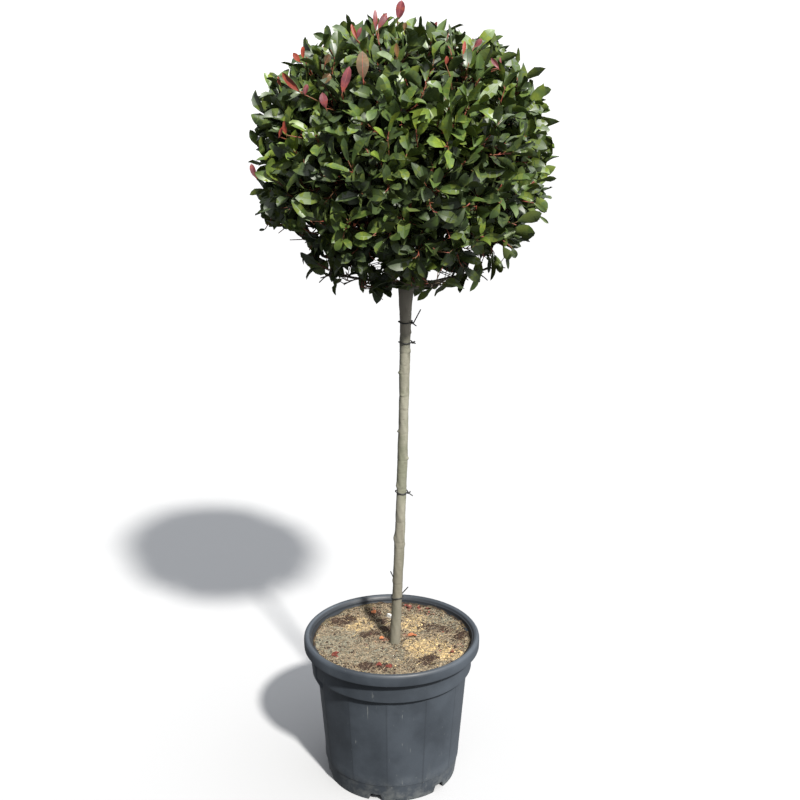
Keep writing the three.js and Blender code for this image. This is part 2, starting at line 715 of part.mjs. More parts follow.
// One shoot of the head, out of its core at a place on a golden spiral round it.
function crownShoot(mass, i) {
  const height = 1 - 2 * (i + 0.5) / CROWN_SHOOTS;
  const flat = Math.sqrt(1 - height * height);
  const turn = i * GOLDEN_ANGLE;
  const out = new THREE.Vector3(Math.cos(turn) * flat, Math.sin(turn) * flat, height);
  const surface = onHead(out, CORE_SHARE);
  if (surface.z < HEAD.z + CORE_FLOOR + SHOOT_FLOOR_MARGIN) {
    return;
  }
  const lean = new THREE.Vector3(
    SHOOT_LEAN * sway(i, SALT.shootX),
    SHOOT_LEAN * sway(i, SALT.shootY),
    SHOOT_LIFT + SHOOT_LIFT_SWAY * sway(i, SALT.shootZ),
  );
  const along = out.clone().add(lean).normalize();
  const length = CROWN_SHOOT_LENGTH * (SHORTEST_SHOOT + SHOOT_SPREAD * scatter(i, SALT.shootLength));
  const foot = surface.clone().addScaledVector(along, -CROWN_SHOOT_SINK);
  const tip = surface.clone().addScaledVector(along, length);
  if (mass.addTwig(foot, tip)) {
    mass.addLeaves(foot.lerp(tip, SHOOT_BARE_SHARE), tip, i, LEAVES_PER_SHOOT);
  }
}

// One young shoot on top of the head, taller than the clipped outline.
function tallShoot(mass, [x, y, extra], i) {
  const out = new THREE.Vector3(x - HEAD.x, y, HEAD_RISE).normalize();
  const foot = onHead(out, TALL_SHOOT_ROOT);
  const tip = onHead(out, 1).add(new THREE.Vector3(0, 0, extra - LEAF_LENGTH * SHORTEST_SHOOT));
  mass.addTwig(foot, tip);
  mass.addLeaves(foot.lerp(tip, TALL_SHOOT_BARE_SHARE), tip, TALL_SHOOT_SEED + i, TALL_SHOOT_LEAVES);
}

// The head's own stem, on from a steep bough's tip into the core.
function crownStem(plan) {
  const out = plan.line.getTangent(1);
  const foot = plan.line.getPoint(1).addScaledVector(out, GAP);
  const tip = foot.clone().addScaledVector(out, HEAD.z + CORE_FLOOR + CROWN_STEM_RISE - foot.z);
  return limb(new THREE.LineCurve3(foot, tip), taper([plan.radii[1], CROWN_STEM_TIP]), BOUGH_SIDES, 1);
}

// The clipped head: a core with short leafy shoots all round it, and some taller young shoots on top.
function crown(plans) {
  const inOutline = (place) => place.z > HEAD.z + CROWN_FLOOR && headShare(place) < CROWN_LIMIT;
  const mass = new Mass(inOutline, plans);
  mass.solids.push(core());
  for (let i = 0; i < CROWN_SHOOTS; i += 1) {
    crownShoot(mass, i);
  }
  mass.allows = (place) => place.z > HEAD.z;
  TALL_SHOOTS.forEach((shoot, i) => tallShoot(mass, shoot, i));
  mass.solids.push(...plans.filter((plan) => !plan.low).map(crownStem));
  return mass.joined();
}

// Whether a place lies in the sector under the head that a low bough's spray may fill.
function inSkirt(place, plan) {
  const turn = Math.atan2(place.x - KNUCKLE.x, KNUCKLE.y - place.y) - plan.turn;
  const off = Math.abs(Math.atan2(Math.sin(turn), Math.cos(turn)));
  return place.z < HEAD.z + SKIRT_TOP && off < SKIRT_SECTOR && headShare(place) < SKIRT_LIMIT;
}

// One twig of a skirt spray with its leaves, on alternate sides of the spray's stem.
function skirtTwig(mass, stem, plan, seed, k) {
  const share = SKIRT_FIRST_TWIG + (1 - SKIRT_FIRST_TWIG) * k / (SKIRT_TWIGS - 1);
  const side = k % 2 === 0 ? 1 : -1;
  const spread = side * (SKIRT_TWIG_TURN - SKIRT_TWIG_CLOSING * share);
  const turn = plan.turn + spread + SKIRT_TWIG_TURN_SWAY * sway(seed, SALT.twigTurn);
  const rise = SKIRT_TWIG_RISE + SKIRT_TWIG_RISE_SWAY * sway(seed, SALT.twigRise);
  const longer = SKIRT_TWIG_SPREAD * scatter(seed, SALT.twigLength);
  const length = SKIRT_TWIG_LENGTH * (SKIRT_SHORTEST_TWIG + longer);
  const foot = stem.getPoint(Math.min(share, SKIRT_LAST_TWIG));
  const tip = foot.clone().addScaledVector(heading(turn, rise), length);
  if (mass.addTwig(foot, tip)) {
    mass.addLeaves(foot, tip, seed, LEAVES_PER_SKIRT_TWIG);
  }
}

// One open spray under the head: a stem on from its bough's tip, with twigs and leaves.
function skirtSpray(plan, index, plans) {
  const out = plan.line.getTangent(1);
  const foot = plan.line.getPoint(1).addScaledVector(out, GAP);
  const bend = foot.clone().addScaledVector(out, SKIRT_STEM_LENGTH / 2);
  const tip = foot.clone().addScaledVector(heading(plan.turn, SKIRT_STEM_RISE), SKIRT_STEM_LENGTH);
  const stem = new THREE.QuadraticBezierCurve3(foot, bend, tip);
  const mass = new Mass((place) => inSkirt(place, plan), plans.filter((other) => other !== plan));
  mass.solids.push(limb(stem, taper(SKIRT_STEM_RADII), SKIRT_STEM_SIDES, SKIRT_STEM_STEPS));
  for (let k = 0; k < SKIRT_TWIGS; k += 1) {
    skirtTwig(mass, stem, plan, SKIRT_SEED + SKIRT_SEED_STEP * index + k, k);
  }
  return mass.joined();
}

// A thin tie: a loop round the stem a gap clear, and its two twisted ends.
function tie(height, turn, index) {
  const centre = TRUNK_LINE.getPoint(trunkShareAt(height));
  const half = TIE_THICKNESS / 2;
  const loopRadius = trunkRadius(height) + GAP + half + TIE_SLACK;
  const loop = new THREE.TorusGeometry(loopRadius, half, TIE_SIDES, TIE_STEPS);
  const start = heading(turn, 0).multiplyScalar(loopRadius);
  const ends = TIE_TAIL_RISES.map((rise, k) => {
    const reach = TIE_TAIL * (1 - TIE_TAIL_SPREAD * scatter(index, SALT.tieTail + k));
    const tip = start.clone().addScaledVector(heading(turn + TIE_TAIL_TURN - k, rise), reach);
    const radii = TIE_TAIL_TAPER.map((share) => half * share);
    return limb(new THREE.LineCurve3(start, tip), taper(radii), TIE_SIDES, 1);
  });
  const whole = mainBody(wasm.Manifold.union([toSolid(loop), ...ends]));
  const mesh = node(`stem_tie_${index + 1}`, whole, TIE_PLASTIC);
  mesh.position.copy(centre);
  mesh.rotation.set(TIE_TILT * sway(index, SALT.tieTilt), TIE_TILT * sway(index, SALT.tieTilt + 1), 0);
  return mesh;
}

// The whole plant in its pot.
function topiary() {
  const plans = boughPlans();
  const container = new THREE.Group();
  container.add(node('pot', pot(), POT_PLASTIC));
  container.add(node('soil', soil(), COMPOST));

  const tree = new THREE.Group();
  tree.add(node('trunk', trunk(), BARK));
  const grownTrunk = trunk(GAP);
  plans.forEach((plan, i) => {
    tree.add(node(`bough_${i + 1}`, bough(plan, grownTrunk), BARK));
  });
  tree.add(node('crown', crown(plans), FOLIAGE));
  plans.filter((plan) => plan.low).forEach((plan, i) => {
    tree.add(node(`skirt_spray_${i + 1}`, skirtSpray(plan, i, plans), FOLIAGE));
  });
  TIES.forEach(([height, turn], i) => tree.add(tie(height, turn, i)));

  const whole = new THREE.Group();
  whole.add(container, tree);
  return whole;
}

export default topiary();
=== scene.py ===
"""Clipped evergreen standard in a round nursery pot: the looks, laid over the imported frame.

Metres, +Z up, front towards -Y. Every piece holds its place in its mesh and rides on the one body.
Turns are counted from the front, positive towards +X.
"""

import logging
from dataclasses import dataclass, field
from enum import Enum

import bpy
import numpy as np
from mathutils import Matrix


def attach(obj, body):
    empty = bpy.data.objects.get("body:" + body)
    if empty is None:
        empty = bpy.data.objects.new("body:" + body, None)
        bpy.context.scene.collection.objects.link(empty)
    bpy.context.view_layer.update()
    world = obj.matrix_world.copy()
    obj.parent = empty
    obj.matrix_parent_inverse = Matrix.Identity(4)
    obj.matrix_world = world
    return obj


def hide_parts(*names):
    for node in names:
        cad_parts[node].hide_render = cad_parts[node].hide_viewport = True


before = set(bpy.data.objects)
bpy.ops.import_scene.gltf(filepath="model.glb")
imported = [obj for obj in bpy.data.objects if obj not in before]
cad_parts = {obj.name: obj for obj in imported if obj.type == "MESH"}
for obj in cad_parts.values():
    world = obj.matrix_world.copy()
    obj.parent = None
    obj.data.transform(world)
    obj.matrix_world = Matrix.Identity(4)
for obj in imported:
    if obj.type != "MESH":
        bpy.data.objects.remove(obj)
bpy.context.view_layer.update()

LOG = logging.getLogger("topiary")
BODY = "root"
TAU = 2 * np.pi
GOLDEN_ANGLE = np.pi * (3 - np.sqrt(5))
CAMERA_PLACE = np.array([0.019, -2.42, 1.607])
UP = np.array([0, 0, 1.0])
Array = np.ndarray
Material = bpy.types.Material
Colour = tuple[float, float, float]
Place = tuple[float, float, float]
Span = tuple[float, float]


# Seeded scatter, whose salt keeps one use apart from another, and small vector helpers


def scatter(index: Array | int, salt: int) -> Array:
    """A fixed share for each whole number: what is left after the point of a large multiple of a sine."""
    wave = np.sin(np.asarray(index) * 12.9898 + salt * 78.233) * 43758.5453
    return wave - np.floor(wave)


def sway(index: Array | int, salt: int) -> Array:
    """The same scatter, spread from -1 to 1."""
    return 2 * scatter(index, salt) - 1


def unit(vectors: Array) -> Array:
    """Vectors of length 1 in the same directions."""
    return vectors / np.maximum(np.linalg.norm(vectors, axis=-1, keepdims=True), 1e-9)


def heading(turn: Array | float, rise: Array | float) -> Array:
    """Directions at turns from the front and rises above level, in radians."""
    flat = np.cos(rise)
    return np.stack([np.sin(turn) * flat, -np.cos(turn) * flat, np.sin(rise) + 0 * flat * turn], axis=-1)


def squared(vectors: Array, along: Array) -> Array:
    """Directions square to others, as near as can be to the given vectors."""
    return unit(vectors - along * np.sum(vectors * along, axis=-1, keepdims=True))


def leaning(index: Array, salt: int) -> Array:
    """A scattered vector for each whole number, with parts from -1 to 1."""
    return np.stack([sway(index, salt + part) for part in (1, 2, 3)], axis=-1)


def full_turn(columns: int) -> Array:
    """Even turns all the way round, as a row."""
    return TAU * np.arange(columns)[None] / columns


def round_points(turn: Array, reach: Array, height: Array | float) -> Array:
    """Points round the upright axis, at their turns, their reach from it and their height."""
    x, y = np.sin(turn) * reach, -np.cos(turn) * reach
    return np.stack([x, y, height + 0 * x], axis=-1)


def bezier(start: Array, middle: Array, end: Array, share: Array) -> Array:
    """Curves at shares t: (1-t) squared times start, 2t(1-t) times middle and t squared times end."""
    t = share[..., None]
    return (1 - t) ** 2 * start + 2 * t * (1 - t) * middle + t**2 * end


def golden_spiral(count: int) -> Array:
    """Evenly spread directions: even steps of height, each a golden angle on from the last.

    Args:
        count: How many directions.

    Returns:
        Unit vectors, one a row.
    """
    index = np.arange(count)
    height = 1 - 2 * (index + 0.5) / count
    flat = np.sqrt(1 - height**2)
    turn = index * GOLDEN_ANGLE
    return np.stack([np.cos(turn) * flat, np.sin(turn) * flat, height], axis=-1)


def srgb(red: float, green: float, blue: float) -> Colour:
    """A colour given as display values from 0 to 255, as linear light."""
    shares = np.array([red, green, blue]) / 255
    linear = np.where(shares <= 0.04045, shares / 12.92, ((shares + 0.055) / 1.055) ** 2.4)
    return tuple(float(share) for share in linear)


def linked(name: str, data: bpy.types.ID) -> bpy.types.Object:
    """A new object with this data, in the scene."""
    made = bpy.data.objects.new(name, data)
    bpy.context.scene.collection.objects.link(made)
    return made


# Surfaces worked out on grids, and the meshes that hold them

# How upright a limb may be, as a sine, before its rings are measured from X
STEEP = 0.8


def grid_faces(rows: int, columns: int) -> Array:
    """Four-sided faces between the neighbours of a grid of points, counted row by row.

    Args:
        rows: Rows of points.
        columns: Points in each row; the last joins the first.

    Returns:
        Corner numbers, facing out where rows climb and columns turn left.
    """
    row = np.arange(rows - 1)[:, None] * columns
    column = np.arange(columns)[None, :]
    after = (column + 1) % columns
    corners = [row + column, row + after, row + columns + after, row + columns + column]
    return np.stack(corners, axis=-1).reshape(-1, 4)


def pole_faces(rows: int, columns: int) -> Array:
    """Three-sided faces that close a tube of rings with one point more at each end.

    Args:
        rows: Rings in the tube.
        columns: Points in each ring.

    Returns:
        Corner numbers; the two poles are the last two points.
    """
    column = np.arange(columns)
    after = (column + 1) % columns
    first = rows * columns
    last = (rows - 1) * columns
    foot = np.stack([np.full(columns, first), after, column], axis=-1)
    head = np.stack([last + column, last + after, np.full(columns, first + 1)], axis=-1)
    return np.concatenate([foot, head])


def repeated(faces: Array, copies: int, stride: int) -> Array:
    """The same faces for each of several equal runs of points."""
    return (np.arange(copies)[:, None, None] * stride + faces).reshape(-1, faces.shape[1])


@dataclass
class Patchwork:
    """Surface patches gathered into one mesh.

    Attributes:
        faces: Pairs of corner numbers and the number of the finish they take.
        rims: Marks of the points on a sharp rim, one array for each patch.
        count: Points so far.
    """

    points: list[Array] = field(default_factory=list)
    faces: list[tuple[Array, int]] = field(default_factory=list)
    rims: list[Array] = field(default_factory=list)
    count: int = 0

    def add(self, points: Array, *faces: Array, rim: Array | None = None) -> None:
        """Adds one patch in the first finish.

        Args:
            points: Its points, in any grid shape that ends in 3.
            faces: Corner numbers within the patch.
            rim: Marks of the points on a sharp rim, or None.
        """
        flat = points.reshape(-1, 3)
        self.points.append(flat)
        self.rims.append(np.zeros(len(flat), bool) if rim is None else rim)
        self.faces.extend((corners + self.count, 0) for corners in faces)
        self.count += len(flat)

    def add_closed(self, grid: Array, poles: Array) -> None:
        """Adds rings stacked into a tube, shape (rows, columns, 3), closed by a point at each end."""
        points = np.concatenate([grid.reshape(-1, 3), poles])
        self.add(points, grid_faces(*grid.shape[:2]), pole_faces(*grid.shape[:2]))

    def add_tubes(self, paths: Array, radii: Array, sides: int, upright: bool = False) -> None:
        """Adds round limbs: rings of points square to each path, closed by a point at both ends.

        A ring's point is the path's point plus the radius times a turning mix of two directions, which stand
        square to the path and to each other.

        Args:
            paths: Stations along each path, shape (limbs, stations, 3).
            radii: The radius at each station.
            sides: Points in a ring.
            upright: Whether rings are measured from straight up, as on a loop.
        """
        count, stations = radii.shape
        tangents = unit(np.gradient(paths, axis=1))
        axis = unit(paths[:, -1] - paths[:, 0])
        steep = (np.abs(axis[:, 2:]) > STEEP) & (not upright)
        square = np.where(steep, [[1.0, 0.0, 0.0]], [UP])
        across = unit(np.cross(tangents, square[:, None]))
        beside = np.cross(tangents, across)
        angle = TAU * np.arange(sides) / sides
        ring = np.cos(angle)[:, None] * across[:, :, None] + np.sin(angle)[:, None] * beside[:, :, None]
        shell = paths[:, :, None] + radii[:, :, None, None] * ring
        foot = paths[:, :1] - tangents[:, :1] * radii[:, :1, None] / 2
        head = paths[:, -1:] + tangents[:, -1:] * radii[:, -1:, None] / 2
        points = np.concatenate([shell.reshape(count, -1, 3), foot, head], axis=1)
        faces = (grid_faces(stations, sides), pole_faces(stations, sides))
        self.add(points, *(repeated(each, count, stations * sides + 2) for each in faces))

    def add_faces(self, faces: Array, finish: int) -> None:
        """Adds faces of another finish to the last patch."""
        self.faces.append((faces + self.count - len(self.points[-1]), finish))

    def piece(
        self, name: str, finishes: list[Material], slot: str, replaced: tuple[str, ...] = (),
        sharp_angle: float | None = None,
    ) -> None:
        """Makes the mesh, shades it smooth and rides it on the body.

        Args:
            name: The piece's name.
            finishes: Its materials, in the order of the finish numbers.
            slot: The record's material slot; not used.
            replaced: The frame's nodes that it stands for.
            sharp_angle: Edges that bend by more than this stay sharp.
        """
        mesh = bpy.data.meshes.new(name)
        for finish in finishes:
            mesh.materials.append(finish)
        corners = np.concatenate([faces.ravel() for faces, _ in self.faces]).astype(np.int32)
        sizes = np.concatenate([np.full(len(faces), faces.shape[1]) for faces, _ in self.faces])
        numbers = np.concatenate([np.full(len(faces), finish) for faces, finish in self.faces])
        starts = np.concatenate([[0], np.cumsum(sizes)[:-1]]).astype(np.int32)
        mesh.vertices.add(self.count)
        mesh.vertices.foreach_set("co", np.concatenate(self.points).astype(np.float32).ravel())
        mesh.loops.add(len(corners))
        mesh.loops.foreach_set("vertex_index", corners)
        mesh.polygons.add(len(sizes))
        mesh.polygons.foreach_set("loop_start", starts)
        mesh.polygons.foreach_set("material_index", numbers.astype(np.int32))
        mesh.update(calc_edges=True)
        mesh.shade_smooth()
        if sharp_angle is not None:
            mesh.set_sharp_from_angle(angle=sharp_angle)
        rim = np.concatenate(self.rims)
        if rim.any():
            ends = np.empty(len(mesh.edges) * 2, np.int32)
            mesh.edges.foreach_get("vertices", ends)
            mesh.edges.foreach_set("use_edge_sharp", rim[ends].reshape(-1, 2).all(axis=1))
        piece = linked(name, mesh)
        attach(piece, BODY)
        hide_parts(*replaced)
        LOG.info("%s: %d faces", name, len(sizes))


class Batch:
    """Things alike, held as arrays with a row for each."""

    def columns(self) -> list[Array]:
        """The arrays, in order."""
        return [part for part in vars(self).values() if isinstance(part, Array)]

    def picked(self, chosen: Array | slice) -> "Batch":
        """Some of them, chosen by marks or numbers."""
        return type(self)(*(column[chosen] for column in self.columns()))

    def joined(self, other: "Batch") -> "Batch":
        """These and others together."""
        return type(self)(*(np.concatenate(pair) for pair in zip(self.columns(), other.columns())))


@dataclass
class Limbs(Batch):
    """Limbs of one level, each a curve from a foot towards a bend and on to a tip.

    Attributes:
        radii: Radius at foot and tip, shape (limbs, 2).
    """

    feet: Array
    bends: Array
    tips: Array
    radii: Array

    def at(self, numbers: Array, share: Array) -> Array:
        """Points on chosen limbs, one at each share of the way."""
        return bezier(self.feet[numbers], self.bends[numbers], self.tips[numbers], share)

    def pointing(self, numbers: Array, share: Array) -> Array:
        """Directions of chosen limbs, one at each share of the way."""
        t = share[:, None]
        first = (1 - t) * (self.bends[numbers] - self.feet[numbers])
        return unit(first + t * (self.tips[numbers] - self.bends[numbers]))

    @classmethod
    def even(cls, feet: Array, bends: Array, tips: Array, radii: Span) -> "Limbs":
        """Limbs that all have the same radius at the foot and at the tip."""
        return cls(feet, bends, tips, np.tile(radii, (len(tips), 1)))

    def draw(self, work: Patchwork, stations: int, sides: int) -> None:
        """Adds the limbs as round wood that swells slightly every now and then.

        Args:
            work: The patchwork.
            stations: Points along each limb.
            sides: Points round it.
        """
        share = np.linspace(0, 1, stations)
        knots = 1 + 0.07 * np.sin(17 * share + 5 * np.arange(len(self.tips))[:, None])
        radii = (self.radii[:, :1] + (self.radii[:, 1:] - self.radii[:, :1]) * share) * knots
        paths = bezier(self.feet[:, None], self.bends[:, None], self.tips[:, None], share)
        work.add_tubes(paths, radii, sides)

    def grown(self, tips: Array, salt: int, radii: Span, lowest: float = 0.55, lift: float = 0) -> "Limbs":
        """The next level: a limb to each tip from the nearest of these limbs.

        A new limb leaves its parent's outer part along the parent's own direction before it turns to its tip.

        Args:
            tips: Where the new limbs end.
            salt: Keeps this level's scatter apart.
            radii: Their radius at foot and tip.
            lowest: The least share of the way out at which one may leave its parent.
            lift: How far it sags before it turns up, as a share of its length.

        Returns:
            The new limbs.
        """
        far = np.linalg.norm(tips[:, None] - self.tips[None], axis=2)
        parent = np.argmin(far, axis=1)
        share = lowest + (0.97 - lowest) * scatter(np.arange(len(tips)), salt)
        feet = self.at(parent, share)
        reach = np.linalg.norm(tips - feet, axis=1, keepdims=True)
        bends = feet + self.pointing(parent, share) * reach * 0.35 + (tips - feet) * 0.2
        bends[:, 2] -= lift * reach[:, 0]
        return Limbs.even(feet, bends, tips, radii)


# Shader maths as expressions


class Wire:
    """One output of a shader node, for use in expressions."""

    def __init__(self, shader: "Shader", socket: bpy.types.NodeSocket) -> None:
        """Keeps the shader and the socket."""
        self.shader = shader
        self.socket = socket

    def _math(self, operation: str, first: "Wire | float", second: "Wire | float") -> "Wire":
        """A Math node on two values."""
        return self.shader.node("ShaderNodeMath", {"operation": operation}, {0: first, 1: second})

    def __add__(self, other: "Wire | float") -> "Wire":
        """This value plus another."""
        return self._math("ADD", self, other)

    __radd__ = __add__

    def __sub__(self, other: "Wire | float") -> "Wire":
        """This value less another."""
        return self._math("SUBTRACT", self, other)

    def __rsub__(self, other: float) -> "Wire":
        """A number less this value."""
        return self._math("SUBTRACT", other, self)

    def __mul__(self, other: "Wire | float") -> "Wire":
        """This value times another."""
        return self._math("MULTIPLY", self, other)

    __rmul__ = __mul__

    def turn_from(self, other: "Wire") -> "Wire":
        """The angle whose tangent is this value over another."""
        return self._math("ARCTAN2", self, other)

    def sine(self) -> "Wire":
        """The size of this value's sine."""
        return self._math("ABSOLUTE", self._math("SINE", self, 0), 0)

    def between(self, low: float, high: float) -> "Wire":
        """How far this value lies from a low to a high one, smoothly, held to 0 and 1.

        Args:
            low: The value that gives 0.
            high: The value that gives 1; it may be the smaller one.

        Returns:
            The share.
        """
        flipped = high < low
        settings = {"interpolation_type": "SMOOTHSTEP"}
        inputs = {"Value": self, "From Min": min(low, high), "From Max": max(low, high)}
        share = self.shader.node("ShaderNodeMapRange", settings, inputs)
        return 1 - share if flipped else share


class Shader:
    """The node tree of a finish or of the sky, built with expressions."""

    def __init__(self, name: str, sky: bool = False) -> None:
        """Makes the material or the sky and keeps its surface node.

        Args:
            name: Its name.
            sky: Whether it is the sky.
        """
        self.holder = bpy.data.worlds.new(name) if sky else bpy.data.materials.new(name)
        self.holder.use_nodes = True
        self.tree = self.holder.node_tree
        self.surface = self.tree.nodes["Background" if sky else "Principled BSDF"]

    def node(
        self, kind: str, settings: dict | None = None, inputs: dict | None = None, output: int = 0
    ) -> Wire:
        """Adds a node.

        Args:
            kind: The node's type.
            settings: Its settings, set first; "stops" are a ramp's two places and colours.
            inputs: The values or links of its sockets, by name or number.
            output: The number of the wanted output.

        Returns:
            That output.
        """
        made = self.tree.nodes.new(kind)
        settings = dict(settings or {})
        for stop, (place, colour) in enumerate(settings.pop("stops", ())):
            made.color_ramp.elements[stop].position = place
            made.color_ramp.elements[stop].color = (*colour, 1)
        for name, value in settings.items():
            setattr(made, name, value)
        for name, value in (inputs or {}).items():
            self.feed(made.inputs[name], value)
        return Wire(self, made.outputs[output])

    def feed(self, socket: bpy.types.NodeSocket, value: "Wire | float | Colour") -> None:
        """Links or sets one socket; a colour of three numbers gets its fourth."""
        if isinstance(value, Wire):
            self.tree.links.new(value.socket, socket)
        elif socket.type == "RGBA":
            socket.default_value = (*value, 1)
        else:
            socket.default_value = value

    def place(self, scale: Place = (1, 1, 1), offset: Place = (0, 0, 0)) -> Wire:
        """The object's own coordinates, moved and then scaled along each axis."""
        objects = self.node("ShaderNodeTexCoord", output=3)
        moved = self.node("ShaderNodeVectorMath", {"operation": "SUBTRACT"}, {0: objects, 1: offset})
        return self.node("ShaderNodeVectorMath", {"operation": "MULTIPLY"}, {0: moved, 1: scale})

    def axis(self, number: int) -> Wire:
        """One of the object's own coordinates: 0 for X, 1 for Y, 2 for Z."""
        return self.node("ShaderNodeSeparateXYZ", inputs={0: self.place()}, output=number)

    def noise(
        self, scale: float, detail: float = 3.0, rough: float = 0.55, place: Wire | None = None
    ) -> Wire:
        """Soft noise: its patches to the metre, finer layers, their strength, and coordinates or None."""
        inputs = {"Vector": place or self.place(), "Scale": scale, "Detail": detail, "Roughness": rough}
        return self.node("ShaderNodeTexNoise", {"noise_dimensions": "3D"}, inputs)

    def cells(self, scale: float) -> Wire:
        """The distance to the nearest of many scattered points, in cells."""
        return self.node("ShaderNodeTexVoronoi", inputs={"Vector": self.place(), "Scale": scale})

    def mix(self, share: "Wire | float", first: "Wire | Colour", second: "Wire | Colour") -> Wire:
        """A colour between two others."""
        inputs = {0: share, 6: first, 7: second}
        return self.node("ShaderNodeMix", {"data_type": "RGBA"}, inputs, output=2)

    def bump(self, height: Wire, depth: float, strength: float = 1.0) -> Wire:
        """The normal of a surface with this relief, of a depth in metres."""
        return self.node("ShaderNodeBump", inputs={"Height": height, "Distance": depth, "Strength": strength})

    def finish(self, **sockets: "Wire | float | Colour") -> Material | bpy.types.World:
        """Sets or links the surface's own sockets, named with _ for a space, and returns what it made."""
        for name, value in sockets.items():
            self.feed(self.surface.inputs[name.replace("_", " ")], value)
        return self.holder


@dataclass(frozen=True)
class PotPlastic:
    """Moulded slate-grey plastic with chalky scuffs, run marks and dust towards its foot; painted shade
    darkens the inside of its rim and painted light pales its flanks.

    Attributes:
        panels: Panels round the pot; dirt lies in their joints.
        panel_turn: Where the first joint stands.
        foot_height: Height up to which dust gathers.
        joint_ends: Heights from which and at which the joints are full.
        mouth_heights, mouth_squares: The same of the painted shade inside the rim, and in squares of the
            radius.
        flank_squares: The same of the flanks paled as painted light, in squares of X.
    """

    panels: int
    panel_turn: float
    plastic: Colour = srgb(43, 48, 54)
    faded: Colour = srgb(62, 68, 75)
    dust: Colour = srgb(128, 130, 126)
    foot_height: float = 0.075
    joint_ends: Span = (0.272, 0.262)
    mouth_heights: Span = (0.315, 0.32)
    mouth_squares: Span = (0.0361, 0.0346)
    flank_squares: Span = (0.008, 0.026)

    def material(self) -> Material:
        """Builds the material.

        Bleached patches follow a broad noise, run marks and thin scuffs noises drawn out upright, specks the
        middles of scattered cells, and dust a noise that fades with height. Painted shade darkens the inside
        of the rim, and painted light pales the flanks to the left and right.

        Returns:
            The material.
        """
        shader = Shader("pot_plastic")
        x, y, height = (shader.axis(number) for number in range(3))
        broad = shader.noise(9, 4)
        runs = shader.noise(30, 4, 0.6, shader.place((1, 1, 0.10)))
        thin = shader.noise(210, 2, 0.5, shader.place((1, 1, 0.07)))
        specks = shader.cells(80).between(0.08, 0.03) * shader.noise(14, 1).between(0.52, 0.62)
        streaks = runs.between(0.60, 0.74) * broad.between(0.42, 0.62)
        scuffs = thin.between(0.68, 0.74) * shader.noise(22, 2).between(0.55, 0.62)
        foot = height.between(self.foot_height, 0.0) * shader.noise(45, 5, 0.7).between(0.38, 0.68)
        chalk = specks * 0.65 + scuffs * 0.55 + streaks * 0.22 + foot * 0.3
        turn = x.turn_from(y * -1)
        joints = ((turn - self.panel_turn) * (self.panels / 2)).sine().between(0.12, 0.0)
        # Painted shade: the inside of the rim is darkened, like the dirt of the joints, towards a darker
        # plastic
        painted_rim_shade = (x * x + y * y).between(*self.mouth_squares) * height.between(*self.mouth_heights)
        joint_dirt_and_rim_shade = joints * height.between(*self.joint_ends) * 0.25 + painted_rim_shade * 0.75
        # Patches paled by the sun, and painted light that pales the flanks to the left and right
        bleach_and_lit_flanks = broad.between(0.35, 0.65) * 0.6 + (x * x).between(*self.flank_squares) * 0.9
        body = shader.mix(bleach_and_lit_flanks * (1 - joint_dirt_and_rim_shade), self.plastic, self.faded)
        dirty_and_shaded = tuple(part * 0.5 for part in self.plastic)
        return shader.finish(
            Base_Color=shader.mix(chalk, shader.mix(joint_dirt_and_rim_shade, body, dirty_and_shaded), self.dust),
            Roughness=shader.noise(60, 3) * 0.22 + chalk * 0.3 + 0.40,
            Normal=shader.bump(shader.noise(420, 2) * 0.35 + broad * 0.65, 0.0006, 0.5),
            Specular_IOR_Level=0.4,
        )


@dataclass(frozen=True)
class Compost:
    """Damp, mossy compost: the colours of it wet and dry, the wet one also its painted shade, of moss and of
    sun-paled mulch.
    """

    dark: Colour = srgb(34, 28, 22)
    earth: Colour = srgb(78, 64, 50)
    moss: Colour = srgb(104, 96, 76)
    straw: Colour = srgb(142, 124, 88)

    def material(self) -> Material:
        """Builds the material: colours dealt out by broad noises, and painted shade that darkens the pits
        between crumbs.

        Returns:
            The material.
        """
        shader = Shader("compost")
        crumbs = shader.cells(210)
        clods = shader.noise(70, 5, 0.65)
        moss = shader.noise(13, 3).between(0.44, 0.58)
        straw = shader.noise(16, 3, 0.5, shader.place(offset=(0.3, 0.1, 0))).between(0.55, 0.66)
        ground = shader.mix(clods.between(0.36, 0.6), self.dark, self.earth)
        mossy = shader.mix(moss * 0.8, ground, self.moss)
        colour = shader.mix(straw * clods.between(0.4, 0.6), mossy, self.straw)
        return shader.finish(
            # Painted shade: the pits between crumbs are darkened towards the dark colour
            Base_Color=shader.mix(crumbs.between(0.15, 0.55) * 0.6, self.dark, colour),
            Roughness=0.95,
            Normal=shader.bump(clods * 0.7 + crumbs * 0.3, 0.004),
            Specular_IOR_Level=0.2,
        )


@dataclass(frozen=True)
class Mulch:
    """Dry scraps on the soil: one colour, which its grain darkens and pales by a share."""

    name: str
    colour: Colour
    grain: float

    def material(self) -> Material:
        """Builds the material: a fine noise that darkens the colour and lifts a grain.

        Returns:
            The material.
        """
        shader = Shader(self.name)
        grain = shader.noise(260, 4, 0.65)
        shade = tuple(part * (1 - self.grain) for part in self.colour)
        pale = tuple(min(1.0, part * (1 + self.grain)) for part in self.colour)
        return shader.finish(
            Base_Color=shader.mix(grain.between(0.32, 0.68), shade, pale),
            Roughness=0.85,
            Normal=shader.bump(grain, 0.0008),
            Specular_IOR_Level=0.3,
        )


